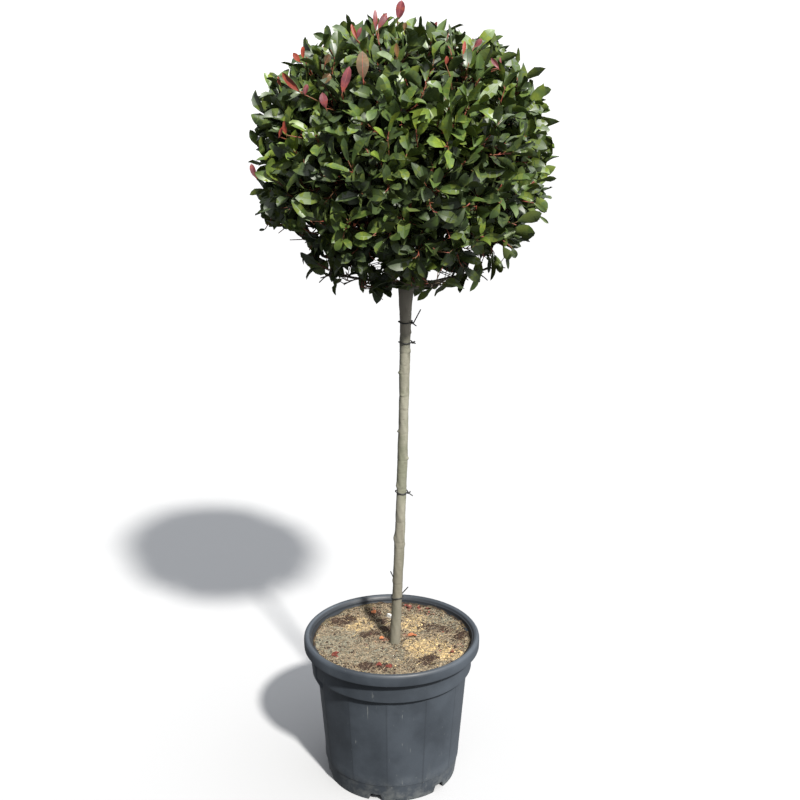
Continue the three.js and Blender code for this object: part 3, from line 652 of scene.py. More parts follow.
@dataclass(frozen=True)
class Bark:
    """Smooth grey-olive bark with brown streaks, pores and foot, and a lighter grey under the head, painted
    light in the crown's shade.

    Attributes:
        shaded: Heights at which the lighter grey, painted light in the crown's shade, begins and is full.
        damp: Heights at which the damp foot begins and is full.
    """

    pale: Colour = srgb(125, 123, 110)
    olive: Colour = srgb(104, 105, 89)
    brown: Colour = srgb(84, 78, 68)
    grey: Colour = srgb(130, 124, 112)
    shaded: Span = (1.015, 1.065)
    damp: Span = (0.68, 0.46)

    def material(self) -> Material:
        """Builds the material.

        An upright-drawn noise gives the streaks, a level-drawn one the breathing pores, and the height,
        pushed about by noise, the change to the lighter grey painted as light in the crown's shade.

        Returns:
            The material.
        """
        shader = Shader("bark")
        streaks = shader.noise(90, 5, 0.6, shader.place((1, 1, 0.08)))
        pores = shader.noise(260, 2, 0.5, shader.place((0.35, 0.35, 1.6)))
        blotches = shader.noise(26, 4, 0.6, shader.place((1, 1, 0.45)))
        height = shader.axis(2) + blotches * 0.10 - 0.05
        clean = shader.mix(blotches.between(0.40, 0.62), self.pale, self.olive)
        streaked = shader.mix(streaks.between(0.50, 0.72) * 0.55, clean, self.brown)
        pored = shader.mix(pores.between(0.62, 0.72) * 0.5, streaked, self.brown)
        footed = shader.mix(height.between(*self.damp) * 0.55, pored, self.brown)
        # Painted light: where the crown shades the stem, the bark is lifted to a lighter grey
        return shader.finish(
            Base_Color=shader.mix(height.between(*self.shaded) * 0.85, footed, self.grey),
            Roughness=streaks * 0.3 + 0.55,
            Normal=shader.bump(streaks * 0.6 + pores * 0.4, 0.0012),
            Specular_IOR_Level=0.35,
        )


@dataclass(frozen=True)
class TwigBark:
    """Bark of the thin wood: one colour mottled towards another; the gloss is its roughness."""

    name: str
    wood: Colour
    mottle: Colour
    gloss: float = 0.6

    def material(self) -> Material:
        """Builds the material: a noise deals out its colours and a relief.

        Returns:
            The material.
        """
        shader = Shader(self.name)
        mottle = shader.noise(140, 4, 0.6)
        return shader.finish(
            Base_Color=shader.mix(mottle.between(0.4, 0.62), self.wood, self.mottle),
            Roughness=self.gloss,
            Normal=shader.bump(mottle, 0.0006),
            Specular_IOR_Level=0.4,
        )


# What the bright green leaves are tinted with
GREEN_WARMTH: Colour = (1.12, 1.0, 0.62)


@dataclass(frozen=True)
class LeafSkin:
    """One side of a leaf, or its midrib.

    Attributes:
        gloss: Its roughness.
        coat: The weight of its waxy coat.
        mottle: How far it varies from leaf to leaf, 0 to 1.
        warmth: The tint of its brightest leaves; the darkest are tinted the other way.
        middle, reach: Middle of the head, and its reach sideways and upwards.
        gloom: Shares of that reach between which the painted shade inside the head gives way.
        low: Heights between which the painted shade of the underside gives way.
        old: How bright the painted shade leaves the leaves, as a share.
    """

    name: str
    colour: Colour
    gloss: float
    coat: float
    mottle: float = 0.28
    warmth: Colour = GREEN_WARMTH
    middle: Place = (0.02, 0.0, 1.405)
    reach: Span = (0.306, 0.268)
    gloom: Span = (0.66, 0.96)
    low: Span = (1.16, 1.54)
    old: float = 0.26

    def material(self) -> Material:
        """Builds the material.

        A noise about a leaf wide varies the colour and a finer one the wax and relief. The distance from the
        head's middle, as a share of its reach, and the height darken and dull the leaves inside and below:
        painted shade where the head shades itself.

        Returns:
            The material.
        """
        shader = Shader(self.name)
        leafwide = shader.noise(34, 2, 0.5)
        cockle = shader.noise(230, 2, 0.5)
        scale = (1 / self.reach[0], 1 / self.reach[0], 1 / self.reach[1])
        off_middle = shader.place(scale, self.middle)
        far = shader.node("ShaderNodeVectorMath", {"operation": "LENGTH"}, {0: off_middle}, output=1)
        # Painted shade: leaves deep in the head and on its underside take a darker colour and less wax
        fresh = far.between(*self.gloom) * (shader.axis(2).between(*self.low) * 0.6 + 0.4)
        tinted = list(zip(self.colour, self.warmth))
        low = tuple(part * (1 - self.mottle) / tint**0.5 for part, tint in tinted)
        high = tuple(min(1.0, part * (1 + self.mottle) * tint) for part, tint in tinted)
        painted_shade_colour = tuple(part * self.old * tint for part, tint in tinted)
        skin = shader.mix(leafwide.between(0.34, 0.66), low, high)
        return shader.finish(
            Base_Color=shader.mix(fresh, painted_shade_colour, skin),
            Roughness=cockle * 0.16 + (self.gloss + 0.22) - fresh * 0.14,
            Normal=shader.bump(cockle, 0.0009, 0.6),
            Specular_IOR_Level=0.42,
            Coat_Weight=fresh * self.coat,
            Coat_Roughness=0.5,
            Coat_IOR=1.65,
        )


@dataclass(frozen=True)
class TiePlastic:
    """Black tie wire in a dull plastic skin, with its unworn and its worn colour."""

    fresh: Colour = srgb(24, 25, 26)
    worn: Colour = srgb(78, 78, 74)

    def material(self) -> Material:
        """Builds the material: a fine noise in its gloss and relief.

        Returns:
            The material.
        """
        shader = Shader("tie_plastic")
        wear = shader.noise(300, 3)
        return shader.finish(
            Base_Color=shader.mix(wear.between(0.5, 0.75) * 0.5, self.fresh, self.worn),
            Roughness=wear * 0.3 + 0.35,
            Normal=shader.bump(wear, 0.0003),
        )


@dataclass(frozen=True)
class Foliage:
    """The colours of one kind of leaf: its upper side, underside and midrib."""

    upper: Colour
    under: Colour
    midrib: Colour
    gloss: float = 0.4
    coat: float = 1.0
    warmth: Colour = GREEN_WARMTH


class LeafKind(Enum):
    """The kinds of leaf that sprays are dealt."""

    DEEP = Foliage(srgb(40, 60, 14), srgb(66, 82, 34), srgb(54, 72, 22))
    MID = Foliage(srgb(57, 82, 16), srgb(82, 100, 38), srgb(76, 97, 28))
    # Partly the light green of some leaves, partly painted light: the glow of sun shining through leaves
    BRIGHT = Foliage(srgb(78, 103, 16), srgb(96, 115, 36), srgb(96, 117, 34))
    BRONZE = Foliage(srgb(82, 64, 34), srgb(92, 72, 46), srgb(128, 66, 46), 0.4, 0.3, (1.1, 1.0, 0.9))
    YOUNG = Foliage(srgb(96, 36, 44), srgb(110, 52, 54), srgb(126, 58, 54), 0.44, 0.6, (1, 1, 1))
    EMBER = Foliage(srgb(130, 48, 30), srgb(140, 68, 46), srgb(144, 74, 50), 0.44, 0.4, (1, 1, 1))

    def finishes(self) -> list[Material]:
        """The three materials of this kind.

        Returns:
            Those of the upper side, the underside and the midrib.
        """
        name, look = self.name.lower(), self.value
        skins = (
            LeafSkin(f"leaf_{name}_upper", look.upper, look.gloss, look.coat, warmth=look.warmth),
            LeafSkin(f"leaf_{name}_under", look.under, gloss=0.66, coat=0.0, mottle=0.18),
            LeafSkin(f"leaf_{name}_midrib", look.midrib, gloss=0.5, coat=0.1, mottle=0.12),
        )
        return [skin.material() for skin in skins]


# The pot


def rounded(corners: list[Place], steps: int = 4) -> Array:
    """A profile with its corners rounded: curves that start and end a reach away and bend to the corner.

    Args:
        corners: Radius, height and reach of the rounding; a reach of 0 keeps a corner sharp.
        steps: Points in each rounding, less one.

    Returns:
        The profile's radii and heights.
    """
    places = np.array([corner[:2] for corner in corners])
    share = np.linspace(0, 1, steps + 1)
    profile = [places[:1]]
    for before, here, after, (_, _, reach) in zip(places, places[1:], places[2:], corners[1:-1]):
        if reach == 0:
            profile.append(here[None])
            continue
        start = here + (before - here) / np.linalg.norm(before - here) * reach
        end = here + (after - here) / np.linalg.norm(after - here) * reach
        profile.append(bezier(start, here, end, share))
    profile.append(places[-1:])
    return np.concatenate(profile)


def filled(profile: Array, longest: float) -> Array:
    """The same profile with points added.

    Args:
        profile: Radii and heights.
        longest: The longest step that is left.

    Returns:
        The finer profile.
    """
    pieces = []
    for start, end in zip(profile, profile[1:]):
        steps = max(1, int(np.ceil(np.linalg.norm(end - start) / longest)))
        pieces.append(start + (end - start) * np.arange(steps)[:, None] / steps)
    return np.concatenate([*pieces, profile[-1:]])


@dataclass
class Pot:
    """The nursery pot: a turned shell with flattened panels, a foot ring with notches and two side pads.

    Attributes:
        height: Height of the rim's top.
        longest: The longest step of its profile.
    """

    height: float = 0.345
    wall: float = 0.0034
    columns: int = 432
    longest: float = 0.009
    foot_radius: float = 0.148
    heel_radius: float = 0.154
    heel_top: float = 0.042
    body_foot_radius: float = 0.155
    body_top_radius: float = 0.1728
    collar_foot: float = 0.2687
    collar_radius: float = 0.182
    rim_foot: float = 0.3175
    rim_radius: float = 0.2
    throat_radius: float = 0.187
    stand_radius: float = 0.112
    channel_height: float = 0.02
    channel_slope: float = 0.004
    panels: int = 12
    panel_depth: float = 0.0022
    panel_turn: float = np.radians(-3.5)
    panel_foot: float = 0.052
    panel_fade: float = 0.012
    notches: int = 6
    notch_turn: float = np.radians(-14)
    notch_width: float = 0.032
    notch_top_width: float = 0.023
    notch_height: float = 0.017
    pads: int = 2
    pad_turn: float = np.radians(-72)
    pad_width: float = 0.044
    pad_radius: float = 0.188
    pad_foot: float = 0.236

    def body_radius(self, height: Array | float) -> Array:
        """Outer radius of the heel and body at a height: two straight slopes."""
        heel = self.foot_radius + (self.heel_radius - self.foot_radius) * height / self.heel_top
        climb = (height - self.heel_top) / (self.collar_foot - self.heel_top)
        body = self.body_foot_radius + (self.body_top_radius - self.body_foot_radius) * climb
        return np.where(height < self.heel_top, heel, body)

    def outer_profile(self) -> Array:
        """The outside, from the middle of the underside to the rim's throat.

        Returns:
            Radii and heights.
        """
        ring = self.foot_radius - self.wall
        roof = self.height - 2 * self.wall
        rim = self.rim_radius - self.wall
        corners = [
            (0, 0, 0),
            (self.stand_radius, 0, 0.001),
            (self.stand_radius + self.channel_slope, self.channel_height, 0.002),
            (ring, self.channel_height, 0.002),
            (ring, 0, 0.0008),
            (self.foot_radius, 0, 0.0012),
            (self.heel_radius, self.heel_top, 0.0006),
            (float(self.body_radius(self.heel_top)), self.heel_top + 0.001, 0.0005),
            (self.body_top_radius, self.collar_foot - 0.001, 0.0006),
            (self.collar_radius, self.collar_foot, 0.0016),
            (self.collar_radius + 0.001, roof, 0.002),
            (rim, roof, 0.002),
            (rim, self.rim_foot, 0.001),
            (self.rim_radius - 0.0006, self.rim_foot, 0.0016),
            (self.rim_radius, (self.rim_foot + self.height) / 2, 0.006),
            (self.rim_radius - 0.0008, self.height - 0.0015, 0.0065),
            (self.rim_radius - 0.007, self.height, 0.003),
            (self.throat_radius, self.height - self.wall, 0.002),
        ]
        return rounded(corners)

    def inner_profile(self) -> Array:
        """The inside, from the rim's throat down to the middle of the floor.

        Returns:
            Radii and heights.
        """
        wall = self.wall
        lip = self.collar_radius - wall
        channel_top = self.channel_height + wall
        corners = [
            (lip, self.rim_foot + wall, 0.004),
            (lip, self.collar_foot + 3 * wall, 0.002),
            (self.body_top_radius - wall, self.collar_foot + wall / 2, 0.002),
            (float(self.body_radius(channel_top)) - wall, channel_top, 0.002),
            (self.stand_radius - wall + self.channel_slope, channel_top, 0.002),
            (self.stand_radius - wall, wall, 0.002),
            (0, wall, 0),
        ]
        return rounded([(self.throat_radius, self.height - wall, 0), *corners])[1:]

    def pressed(self, radius: Array, height: Array, turn: Array) -> Array:
        """How far the panels draw the body in: the depth times the size of a sine of the turn.

        Args:
            radius: Radii of the profile, as a column.
            height: Its heights.
            turn: Turns, as a row.

        Returns:
            Depths for the whole grid.
        """
        outside = radius > self.body_radius(height) - self.wall / 2
        rise = np.clip((height - self.panel_foot) / self.panel_fade, 0, 1)
        on_body = outside & (height < self.collar_foot - 0.0004)
        wave = np.abs(np.sin((turn - self.panel_turn) * self.panels / 2))
        return self.panel_depth * rise * on_body * wave

    def notch(self, turn: Array) -> Array:
        """Height of the foot ring's lower edge: each notch is a trapezium of the distance along the edge."""
        step = TAU / self.notches
        off = (turn - self.notch_turn + step / 2) % step - step / 2
        slope = (self.notch_width - self.notch_top_width) / 2
        share = (self.notch_width / 2 - np.abs(off) * self.foot_radius) / slope
        return self.notch_height * np.clip(share, 0, 1)

    def shell(self) -> Array:
        """The shell: each profile point turned round the axis, drawn in by the panels, lifted at the notches.

        Returns:
            Points, shape (rows, columns, 3), without the two poles.
        """
        whole = np.concatenate([self.outer_profile(), self.inner_profile()])
        profile = filled(whole, self.longest)[1:-1]
        radius, height = profile[:, :1], profile[:, 1:]
        turn = full_turn(self.columns)
        drawn = radius - self.pressed(radius, height, turn)
        ring = (radius > self.stand_radius + 2 * self.channel_slope) & (height < self.channel_height)
        rows = np.arange(len(profile))[:, None]
        outer = rows < np.argmax(profile[:, 1] > self.rim_foot)
        lifted = np.where(ring & outer, np.maximum(height, self.notch(turn)), height + 0 * turn)
        return round_points(turn, drawn, lifted)

    def pad(self, turn: float) -> Array:
        """One side pad: closed rings stacked up the wall.

        A ring's front is a flat arc whose shoulders fall off with the eighth power of the distance from the
        middle; its back lies in the wall.

        Args:
            turn: Where it stands.

        Returns:
            Points, shape (rows, columns, 3).
        """
        body = float(self.body_radius(self.pad_foot))
        under_rim = self.rim_radius - 0.0045
        face = rounded([
            (body - 0.002, self.pad_foot - 0.004, 0.0),
            (body + 0.001, self.pad_foot, 0.003),
            (self.collar_radius + 0.0015, self.collar_foot - 0.008, 0.006),
            (self.pad_radius, self.rim_foot - 0.008, 0.006),
            (under_rim, self.rim_foot + 0.004, 0.003),
            (under_rim, self.rim_foot + 0.010, 0.0),
        ], 5)
        back = self.body_radius(face[:, 1]) - self.wall / 2
        across = np.concatenate([np.linspace(-1, 1, 25), np.linspace(1, -1, 7)[1:-1]])
        front = np.concatenate([1 - np.linspace(-1, 1, 25) ** 8, np.zeros(5)])
        radius = back[:, None] + (face[:, :1] - back[:, None]) * front
        return round_points(turn + across * self.pad_width / 2 / self.pad_radius, radius, face[:, 1:])

    def build(self) -> None:
        """Builds and dresses the pot."""
        work = Patchwork()
        work.add_closed(self.shell(), np.array([[0, 0, 0], [0, 0, self.wall]]))
        for number in range(self.pads):
            ring = self.pad(self.pad_turn + number * TAU / self.pads)
            work.add_closed(ring, np.stack([ring[0].mean(axis=0), ring[-1].mean(axis=0)]))
        finish = PotPlastic(self.panels, self.panel_turn).material()
        work.piece("nursery_pot", [finish], "pot_plastic", ("pot",), sharp_angle=np.radians(40))


# The soil and what lies on it


# Where each kind of scrap lies thick: middle (X, Y) and radius of each patch, in millimetres
PATCHES: dict[str, Array] = {
    "straw": np.array([
        (92, -36, 50), (128, -60, 32), (66, -14, 40), (85, -50, 50), (-78, 85, 36), (52, 95, 44),
    ]),
    "moss": np.array([
        (-125, 20, 50), (-90, -40, 60), (-140, -10, 40), (120, 100, 50), (-20, -60, 50),
    ]),
    "dark": np.array([
        (70, -86, 18), (90, -76, 15), (92, 76, 20), (122, 60, 18), (158, 26, 16), (-24, -112, 20),
        (-56, -108, 18), (-128, 92, 18), (-102, 106, 18), (-62, 34, 12), (-40, 46, 12), (82, -82, 14),
        # The last three lie along the stem's shadow on the soil: dark scraps gathered there as painted shadow
        (-12, 62, 13), (-26, 102, 14), (-42, 142, 15),
    ]),
    "red": np.array([
        (40, 164, 14), (70, 158, 14), (98, 142, 18), (-40, 152, 14), (-124, -74, 10), (-28, -114, 20),
        (36, 34, 10), (120, -48, 26), (-50, 12, 34), (-18, 12, 12), (150, -30, 20),
    ]),
}
# Where the few long straws and the one pale stone lie: X and Y of each, in millimetres
LONG_STRAW_PLACES: Array = np.array([
    (-88, 30), (-74, 24), (-100, -60), (-30, -110), (-18, -100), (-60, -30),
    (60, -110), (110, 20), (-20, 90), (20, 120), (-120, 60), (40, -60),
])
STONE_PLACES: Array = np.array([(-3, 120)])
# The whole fallen leaves by kind: X, Y and length in millimetres, and turn in degrees
FALLEN_LEAVES: dict[str, Array] = {
    "pale": np.array([(30, 30, 25, 80), (-30, 10, 12, 126), (-52, 150, 17, 40)]),
    "red": np.array([
        (-120, -76, 15, 229), (-126, -66, 12, 149), (80, 150, 14, 69), (60, 156, 12, 138),
        (36, 164, 13, 23), (-16, -116, 16, 86), (-36, -112, 14, 109), (128, -52, 12, 74),
    ]),
}


@dataclass(frozen=True)
class Scraps:
    """One kind of scrap on the soil: bent fibres or, where the lift is 0, angular crumbs.

    Attributes:
        size: Mean length of a fibre, or mean half length of a crumb.
        girth: Radius of a fibre, or thickness of a crumb as a share of its length.
        lift: How far a fibre's ends may rise, as a share of its length.
        patches: The patches in which they gather, if they do.
        share: The share of them that gathers.
    """

    piece: str
    finish: Mulch
    count: int
    salt: int
    size: float
    girth: float
    lift: float = 0.0
    patches: str = ""
    share: float = 0.0


SCRAPS: tuple[Scraps, ...] = (
    Scraps("moss_fibres", Mulch("moss", srgb(130, 128, 113), 0.6),
           8600, 300, 0.0105, 0.00042, 0.9, "moss", 0.55),
    Scraps("straw_scraps", Mulch("straw", srgb(191, 167, 120), 0.3),
           3800, 320, 0.0075, 0.00055, 0.4, "straw", 0.84),
    Scraps("grey_stalks", Mulch("stalks", srgb(146, 131, 109), 0.5),
           3800, 340, 0.020, 0.0006, 0.7),
    Scraps("brown_stalks", Mulch("brown_stalk", srgb(68, 50, 37), 0.5),
           4200, 345, 0.012, 0.0006, 0.6, "dark", 0.68),
    Scraps("pale_crumbs", Mulch("pale_crumb", srgb(191, 167, 120), 0.3),
           1300, 360, 0.0013, 0.6, 0.0, "straw", 0.9),
    Scraps("bark_chips", Mulch("bark_chip", srgb(52, 40, 32), 0.5),
           2100, 380, 0.0028, 0.35, 0.0, "dark", 0.66),
    Scraps("red_scraps", Mulch("red_scrap", srgb(112, 52, 44), 0.5),
           420, 400, 0.0021, 0.2, 0.0, "red", 0.92),
)
LONG_STRAW = Scraps("long_straws", Mulch("long_straw", srgb(206, 184, 136), 0.2),
                    12, 415, 0.030, 0.0008, 0.25)
STONE = Scraps("pale_stone", Mulch("stone", srgb(200, 200, 196), 0.12), 1, 430, 0.0125, 0.55)


@dataclass
class Soil:
    """Compost in the pot, with moss, straw, bark crumbs and fallen leaves on it.

    Attributes:
        depth: How far its sides reach down.
        relief: How far its top rises and falls.
        heap: How high and how wide it is heaped at the wall.
        heap_tilt: How much higher that is at +X and at +Y.
        slope_foot: Height from which the pot's wall slopes outwards.
        settling: The width of the level ring round the stem.
        limit, fibre_limit: How far out scraps and fibres lie, as shares of the radius.
        dark_reach: How far the dark patches hold pale scraps off, as a share of their radius.
        dark_loss: The share of the pale scraps that goes in their middles.
    """

    level: float = 0.318
    depth: float = 0.03
    radius: float = 0.1782
    relief: float = 0.0042
    heap: Span = (0.0075, 0.05)
    heap_tilt: Span = (0.0015, 0.0045)
    slope_foot: float = 0.3209
    wall_slope: float = 0.40
    rings: int = 150
    columns: int = 300
    trunk_x: float = 0.0075
    trunk_clearance: float = 0.013
    settling: float = 0.03
    limit: float = 0.975
    fibre_limit: float = 0.985
    dark_reach: float = 1.3
    dark_loss: float = 0.78

    def lie(self, x: Array, y: Array) -> Array:
        """Height of the soil: four crossed waves, level round the stem, and a heap at the wall.

        Args:
            x: Places along X.
            y: Places along Y.

        Returns:
            Heights.
        """
        waves = (
            np.sin(61 * x + 1.3) * np.sin(53 * y + 0.4)
            + 0.7 * np.sin(117 * x - 41 * y) * np.sin(97 * y + 2.1)
            + 0.4 * np.sin(263 * x + 83 * y) * np.sin(241 * y - 90 * x)
            + 0.25 * np.sin(691 * x) * np.sin(733 * y + 3 * np.sin(301 * x))
        )
        off_stem = np.hypot(x - self.trunk_x, y) - self.trunk_clearance
        settled = np.clip(off_stem / self.settling, 0, 1)
        height, width = self.heap
        edge = np.clip((np.hypot(x, y) - self.radius + width) / width, 0, 1) ** 2
        tilt = (self.heap_tilt[0] * x + self.heap_tilt[1] * y) / self.radius
        return self.level + self.relief * 0.5 * waves * settled + edge * (height + tilt)

    def surface(self) -> Patchwork:
        """The top as a disc of rings, closed by a skirt that drops inside the wall and by a floor.

        The disc's edge lies further out where the soil is heaped over the foot of the wall's slope.

        Returns:
            The patchwork.
        """
        share = (np.arange(1, self.rings + 1) / self.rings)[:, None]
        turn = full_turn(self.columns)
        over = self.lie(np.sin(turn) * self.radius, -np.cos(turn) * self.radius) - self.slope_foot
        reach = (self.radius + self.wall_slope * np.maximum(over, 0)) * share
        x, y = np.sin(turn) * reach, -np.cos(turn) * reach
        top = np.stack([x, y, self.lie(x, y)], axis=-1)[::-1]
        edge = round_points(turn[0], self.radius, 0)
        bottom = self.level - self.depth
        skirt = np.stack([edge + [0, 0, bottom], edge + [0, 0, self.slope_foot - 0.001]])
        work = Patchwork()
        work.add_closed(np.concatenate([skirt, top]), np.array([[0, 0, bottom], [0, 0, self.level]]))
        return work

    def spots(self, kind: Scraps) -> Array:
        """Places for scraps: spread over the whole soil, with a share of them gathered in patches.

        A gathered scrap's distance from its patch's middle is the patch's reach times a power of its scatter.
        The nearer the middle of a dark patch, the fewer pale scraps lie there.

        Args:
            kind: The kind of scrap.

        Returns:
            Places as rows of X and Y, all inside the wall and clear of the stem.
        """
        count, salt, patches = kind.count, kind.salt, kind.patches
        index = np.arange(count)
        turn = index * GOLDEN_ANGLE + sway(index, salt)
        reach = self.radius * self.limit * np.sqrt((index + 0.5) / count)
        places = np.stack([np.sin(turn), -np.cos(turn)], axis=-1) * reach[:, None]
        if patches:
            table = PATCHES[patches] / 1000
            chosen = table[(scatter(index, salt + 1) * len(table)).astype(int)]
            spin = TAU * scatter(index, salt + 2)
            off = chosen[:, 2] * scatter(index, salt + 3) ** 0.6
            gathered = chosen[:, :2] + np.stack([np.cos(spin), np.sin(spin)], axis=-1) * off[:, None]
            places = np.where(scatter(index, salt + 4)[:, None] < kind.share, gathered, places)
        if patches in ("", "moss", "straw"):
            off_dark = np.linalg.norm(places[:, None] * 1000 - PATCHES["dark"][:, :2], axis=2)
            dark = np.clip(self.dark_reach - off_dark / PATCHES["dark"][:, 2], 0, 1).max(axis=1)
            places = places[scatter(index, salt + 5) >= self.dark_loss * dark]
        inside = np.hypot(*places.T) < self.radius * self.limit
        clear = np.hypot(places[:, 0] - self.trunk_x, places[:, 1]) > self.trunk_clearance
        return places[inside & clear]

    def fibres(self, kind: Scraps, places: Array) -> Patchwork:
        """Bent fibres on the soil: arcs, their middles pushed aside and up from the line between their ends.

        Args:
            kind: Their kind.
            places: Where they lie.

        Returns:
            The patchwork.
        """
        salt, radius = kind.salt + 10, kind.girth
        index = np.arange(len(places))
        reach = kind.size * (0.55 + 0.9 * scatter(index, salt))
        turn = TAU * scatter(index, salt + 1)
        rise = kind.lift * scatter(index, salt + 2) ** 2
        out = heading(turn, rise) * reach[:, None]
        ground = np.concatenate([places, self.lie(*places.T)[:, None]], axis=1)
        side = heading(turn + np.pi / 2, 0 * turn) * (reach * 0.3 * sway(index, salt + 3))[:, None]
        share = np.linspace(0, 1, 3)[:, None]
        bow = 4 * share * (1 - share)
        paths = ground[:, None] + out[:, None] * (share - 0.5) + side[:, None] * bow
        paths[..., 2] = np.maximum(paths[..., 2], self.lie(paths[..., 0], paths[..., 1]) + radius * 0.4)
        paths[..., 2] += (reach * 0.12 * scatter(index, salt + 4))[:, None] * bow[:, 0]
        thin = radius * (0.7 + 0.6 * scatter(index, salt + 5))[:, None] * (1 - 0.6 * share[:, 0])
        reached = np.maximum(np.hypot(paths[..., :1], paths[..., 1:2]), 1e-9)
        paths[..., :2] *= np.minimum(1, self.radius * self.fibre_limit / reached)
        work = Patchwork()
        work.add_tubes(paths, thin, 3)
        return work

    def crumbs(self, kind: Scraps, places: Array) -> Patchwork:
        """Angular crumbs and chips: boxes with their corners pushed about, turned at random.

        Args:
            kind: Their kind.
            places: Where they lie.

        Returns:
            The patchwork.
        """
        salt = kind.salt + 10
        index = np.arange(len(places))
        corner = np.array([[x, y, z] for z in (-1, 1) for x, y in ((-1, -1), (1, -1), (1, 1), (-1, 1))])
        push = 1 + 0.35 * sway(index[:, None, None] * 24 + np.arange(24).reshape(8, 3), salt)
        half = kind.size * (0.45 + 1.1 * scatter(index, salt + 1) ** 2)
        wide = half * (0.45 + 0.4 * scatter(index, salt + 2))
        shape = np.stack([half, wide, half * kind.girth], axis=-1)
        local = corner * push * shape[:, None]
        turn = TAU * scatter(index, salt + 3)
        along = heading(turn, 0.5 * sway(index, salt + 4))
        beside = heading(turn + np.pi / 2, 0.5 * sway(index, salt + 5))
        up = unit(np.cross(along, beside))
        beside = np.cross(up, along)
        ground = np.concatenate([places, self.lie(*places.T)[:, None] + shape[:, 2:] * 0.4], axis=1)
        points = ground[:, None] + local @ np.stack([along, beside, up], axis=1)
        box = np.array([[0, 3, 2, 1], [4, 5, 6, 7], [0, 1, 5, 4], [1, 2, 6, 5], [2, 3, 7, 6], [3, 0, 4, 7]])
        work = Patchwork()
        work.add(points, repeated(box, len(places), 8), rim=np.ones(len(places) * 8, bool))
        return work

    def build(self) -> None:
        """Builds and dresses the soil and all that lies on it."""
        self.surface().piece("compost", [Compost().material()], "soil", ("soil",))
        for kind in SCRAPS:
            self.lay(kind, self.spots(kind))
        self.lay(LONG_STRAW, LONG_STRAW_PLACES / 1000)
        self.fallen_leaves("pale", srgb(148, 90, 58), salt=431)
        self.fallen_leaves("red", srgb(92, 42, 34), salt=436)
        self.lay(STONE, STONE_PLACES / 1000)

    def lay(self, kind: Scraps, places: Array) -> None:
        """Lays scraps of one kind at their places and dresses them."""
        made = self.fibres if kind.lift > 0 else self.crumbs
        made(kind, places).piece(kind.piece, [kind.finish.material()], "soil")

    def fallen_leaves(self, name: str, colour: Colour, salt: int) -> None:
        """Lays the few whole fallen leaves of one kind.

        Args:
            name: The kind's name.
            colour: Its colour.
            salt: Keeps its scatter apart.
        """
        rows = FALLEN_LEAVES[name]
        number = np.arange(len(rows))
        x, y, length = rows[:, :3].T / 1000
        feet = np.stack([x, y, self.lie(x, y) + 0.003], axis=-1)
        along = heading(np.radians(rows[:, 3]), 0.12)
        normals = squared(UP + leaning(number, salt) * [0.2, 0.2, 0], along)
        curl = 0.15 + 0 * length
        leaves = Leaves(feet, along, normals, length, length * 0.75, curl, number + salt)
        work = Patchwork()
        leaves.draw(work)
        dry = Mulch(f"fallen_leaf_{name}", colour, 0.35).material()
        work.piece(f"fallen_leaves_{name}", [dry, dry, dry], "soil")


# The stem, its boughs and its ties


def bump_at(off_height: Array, off_arc: Array, tall: float, wide: float) -> Array:
    """A rounded swelling: it falls off with the square of the distance, up and along the bark."""
    return np.exp(-((off_height / tall) ** 2) - (off_arc / wide) ** 2)


@dataclass
class Scar:
    """A pruned stub or knot: its height, its turn in degrees, how proud it stands and half its height."""

    height: float
    turn: float
    proud: float
    tall: float = 0.0045


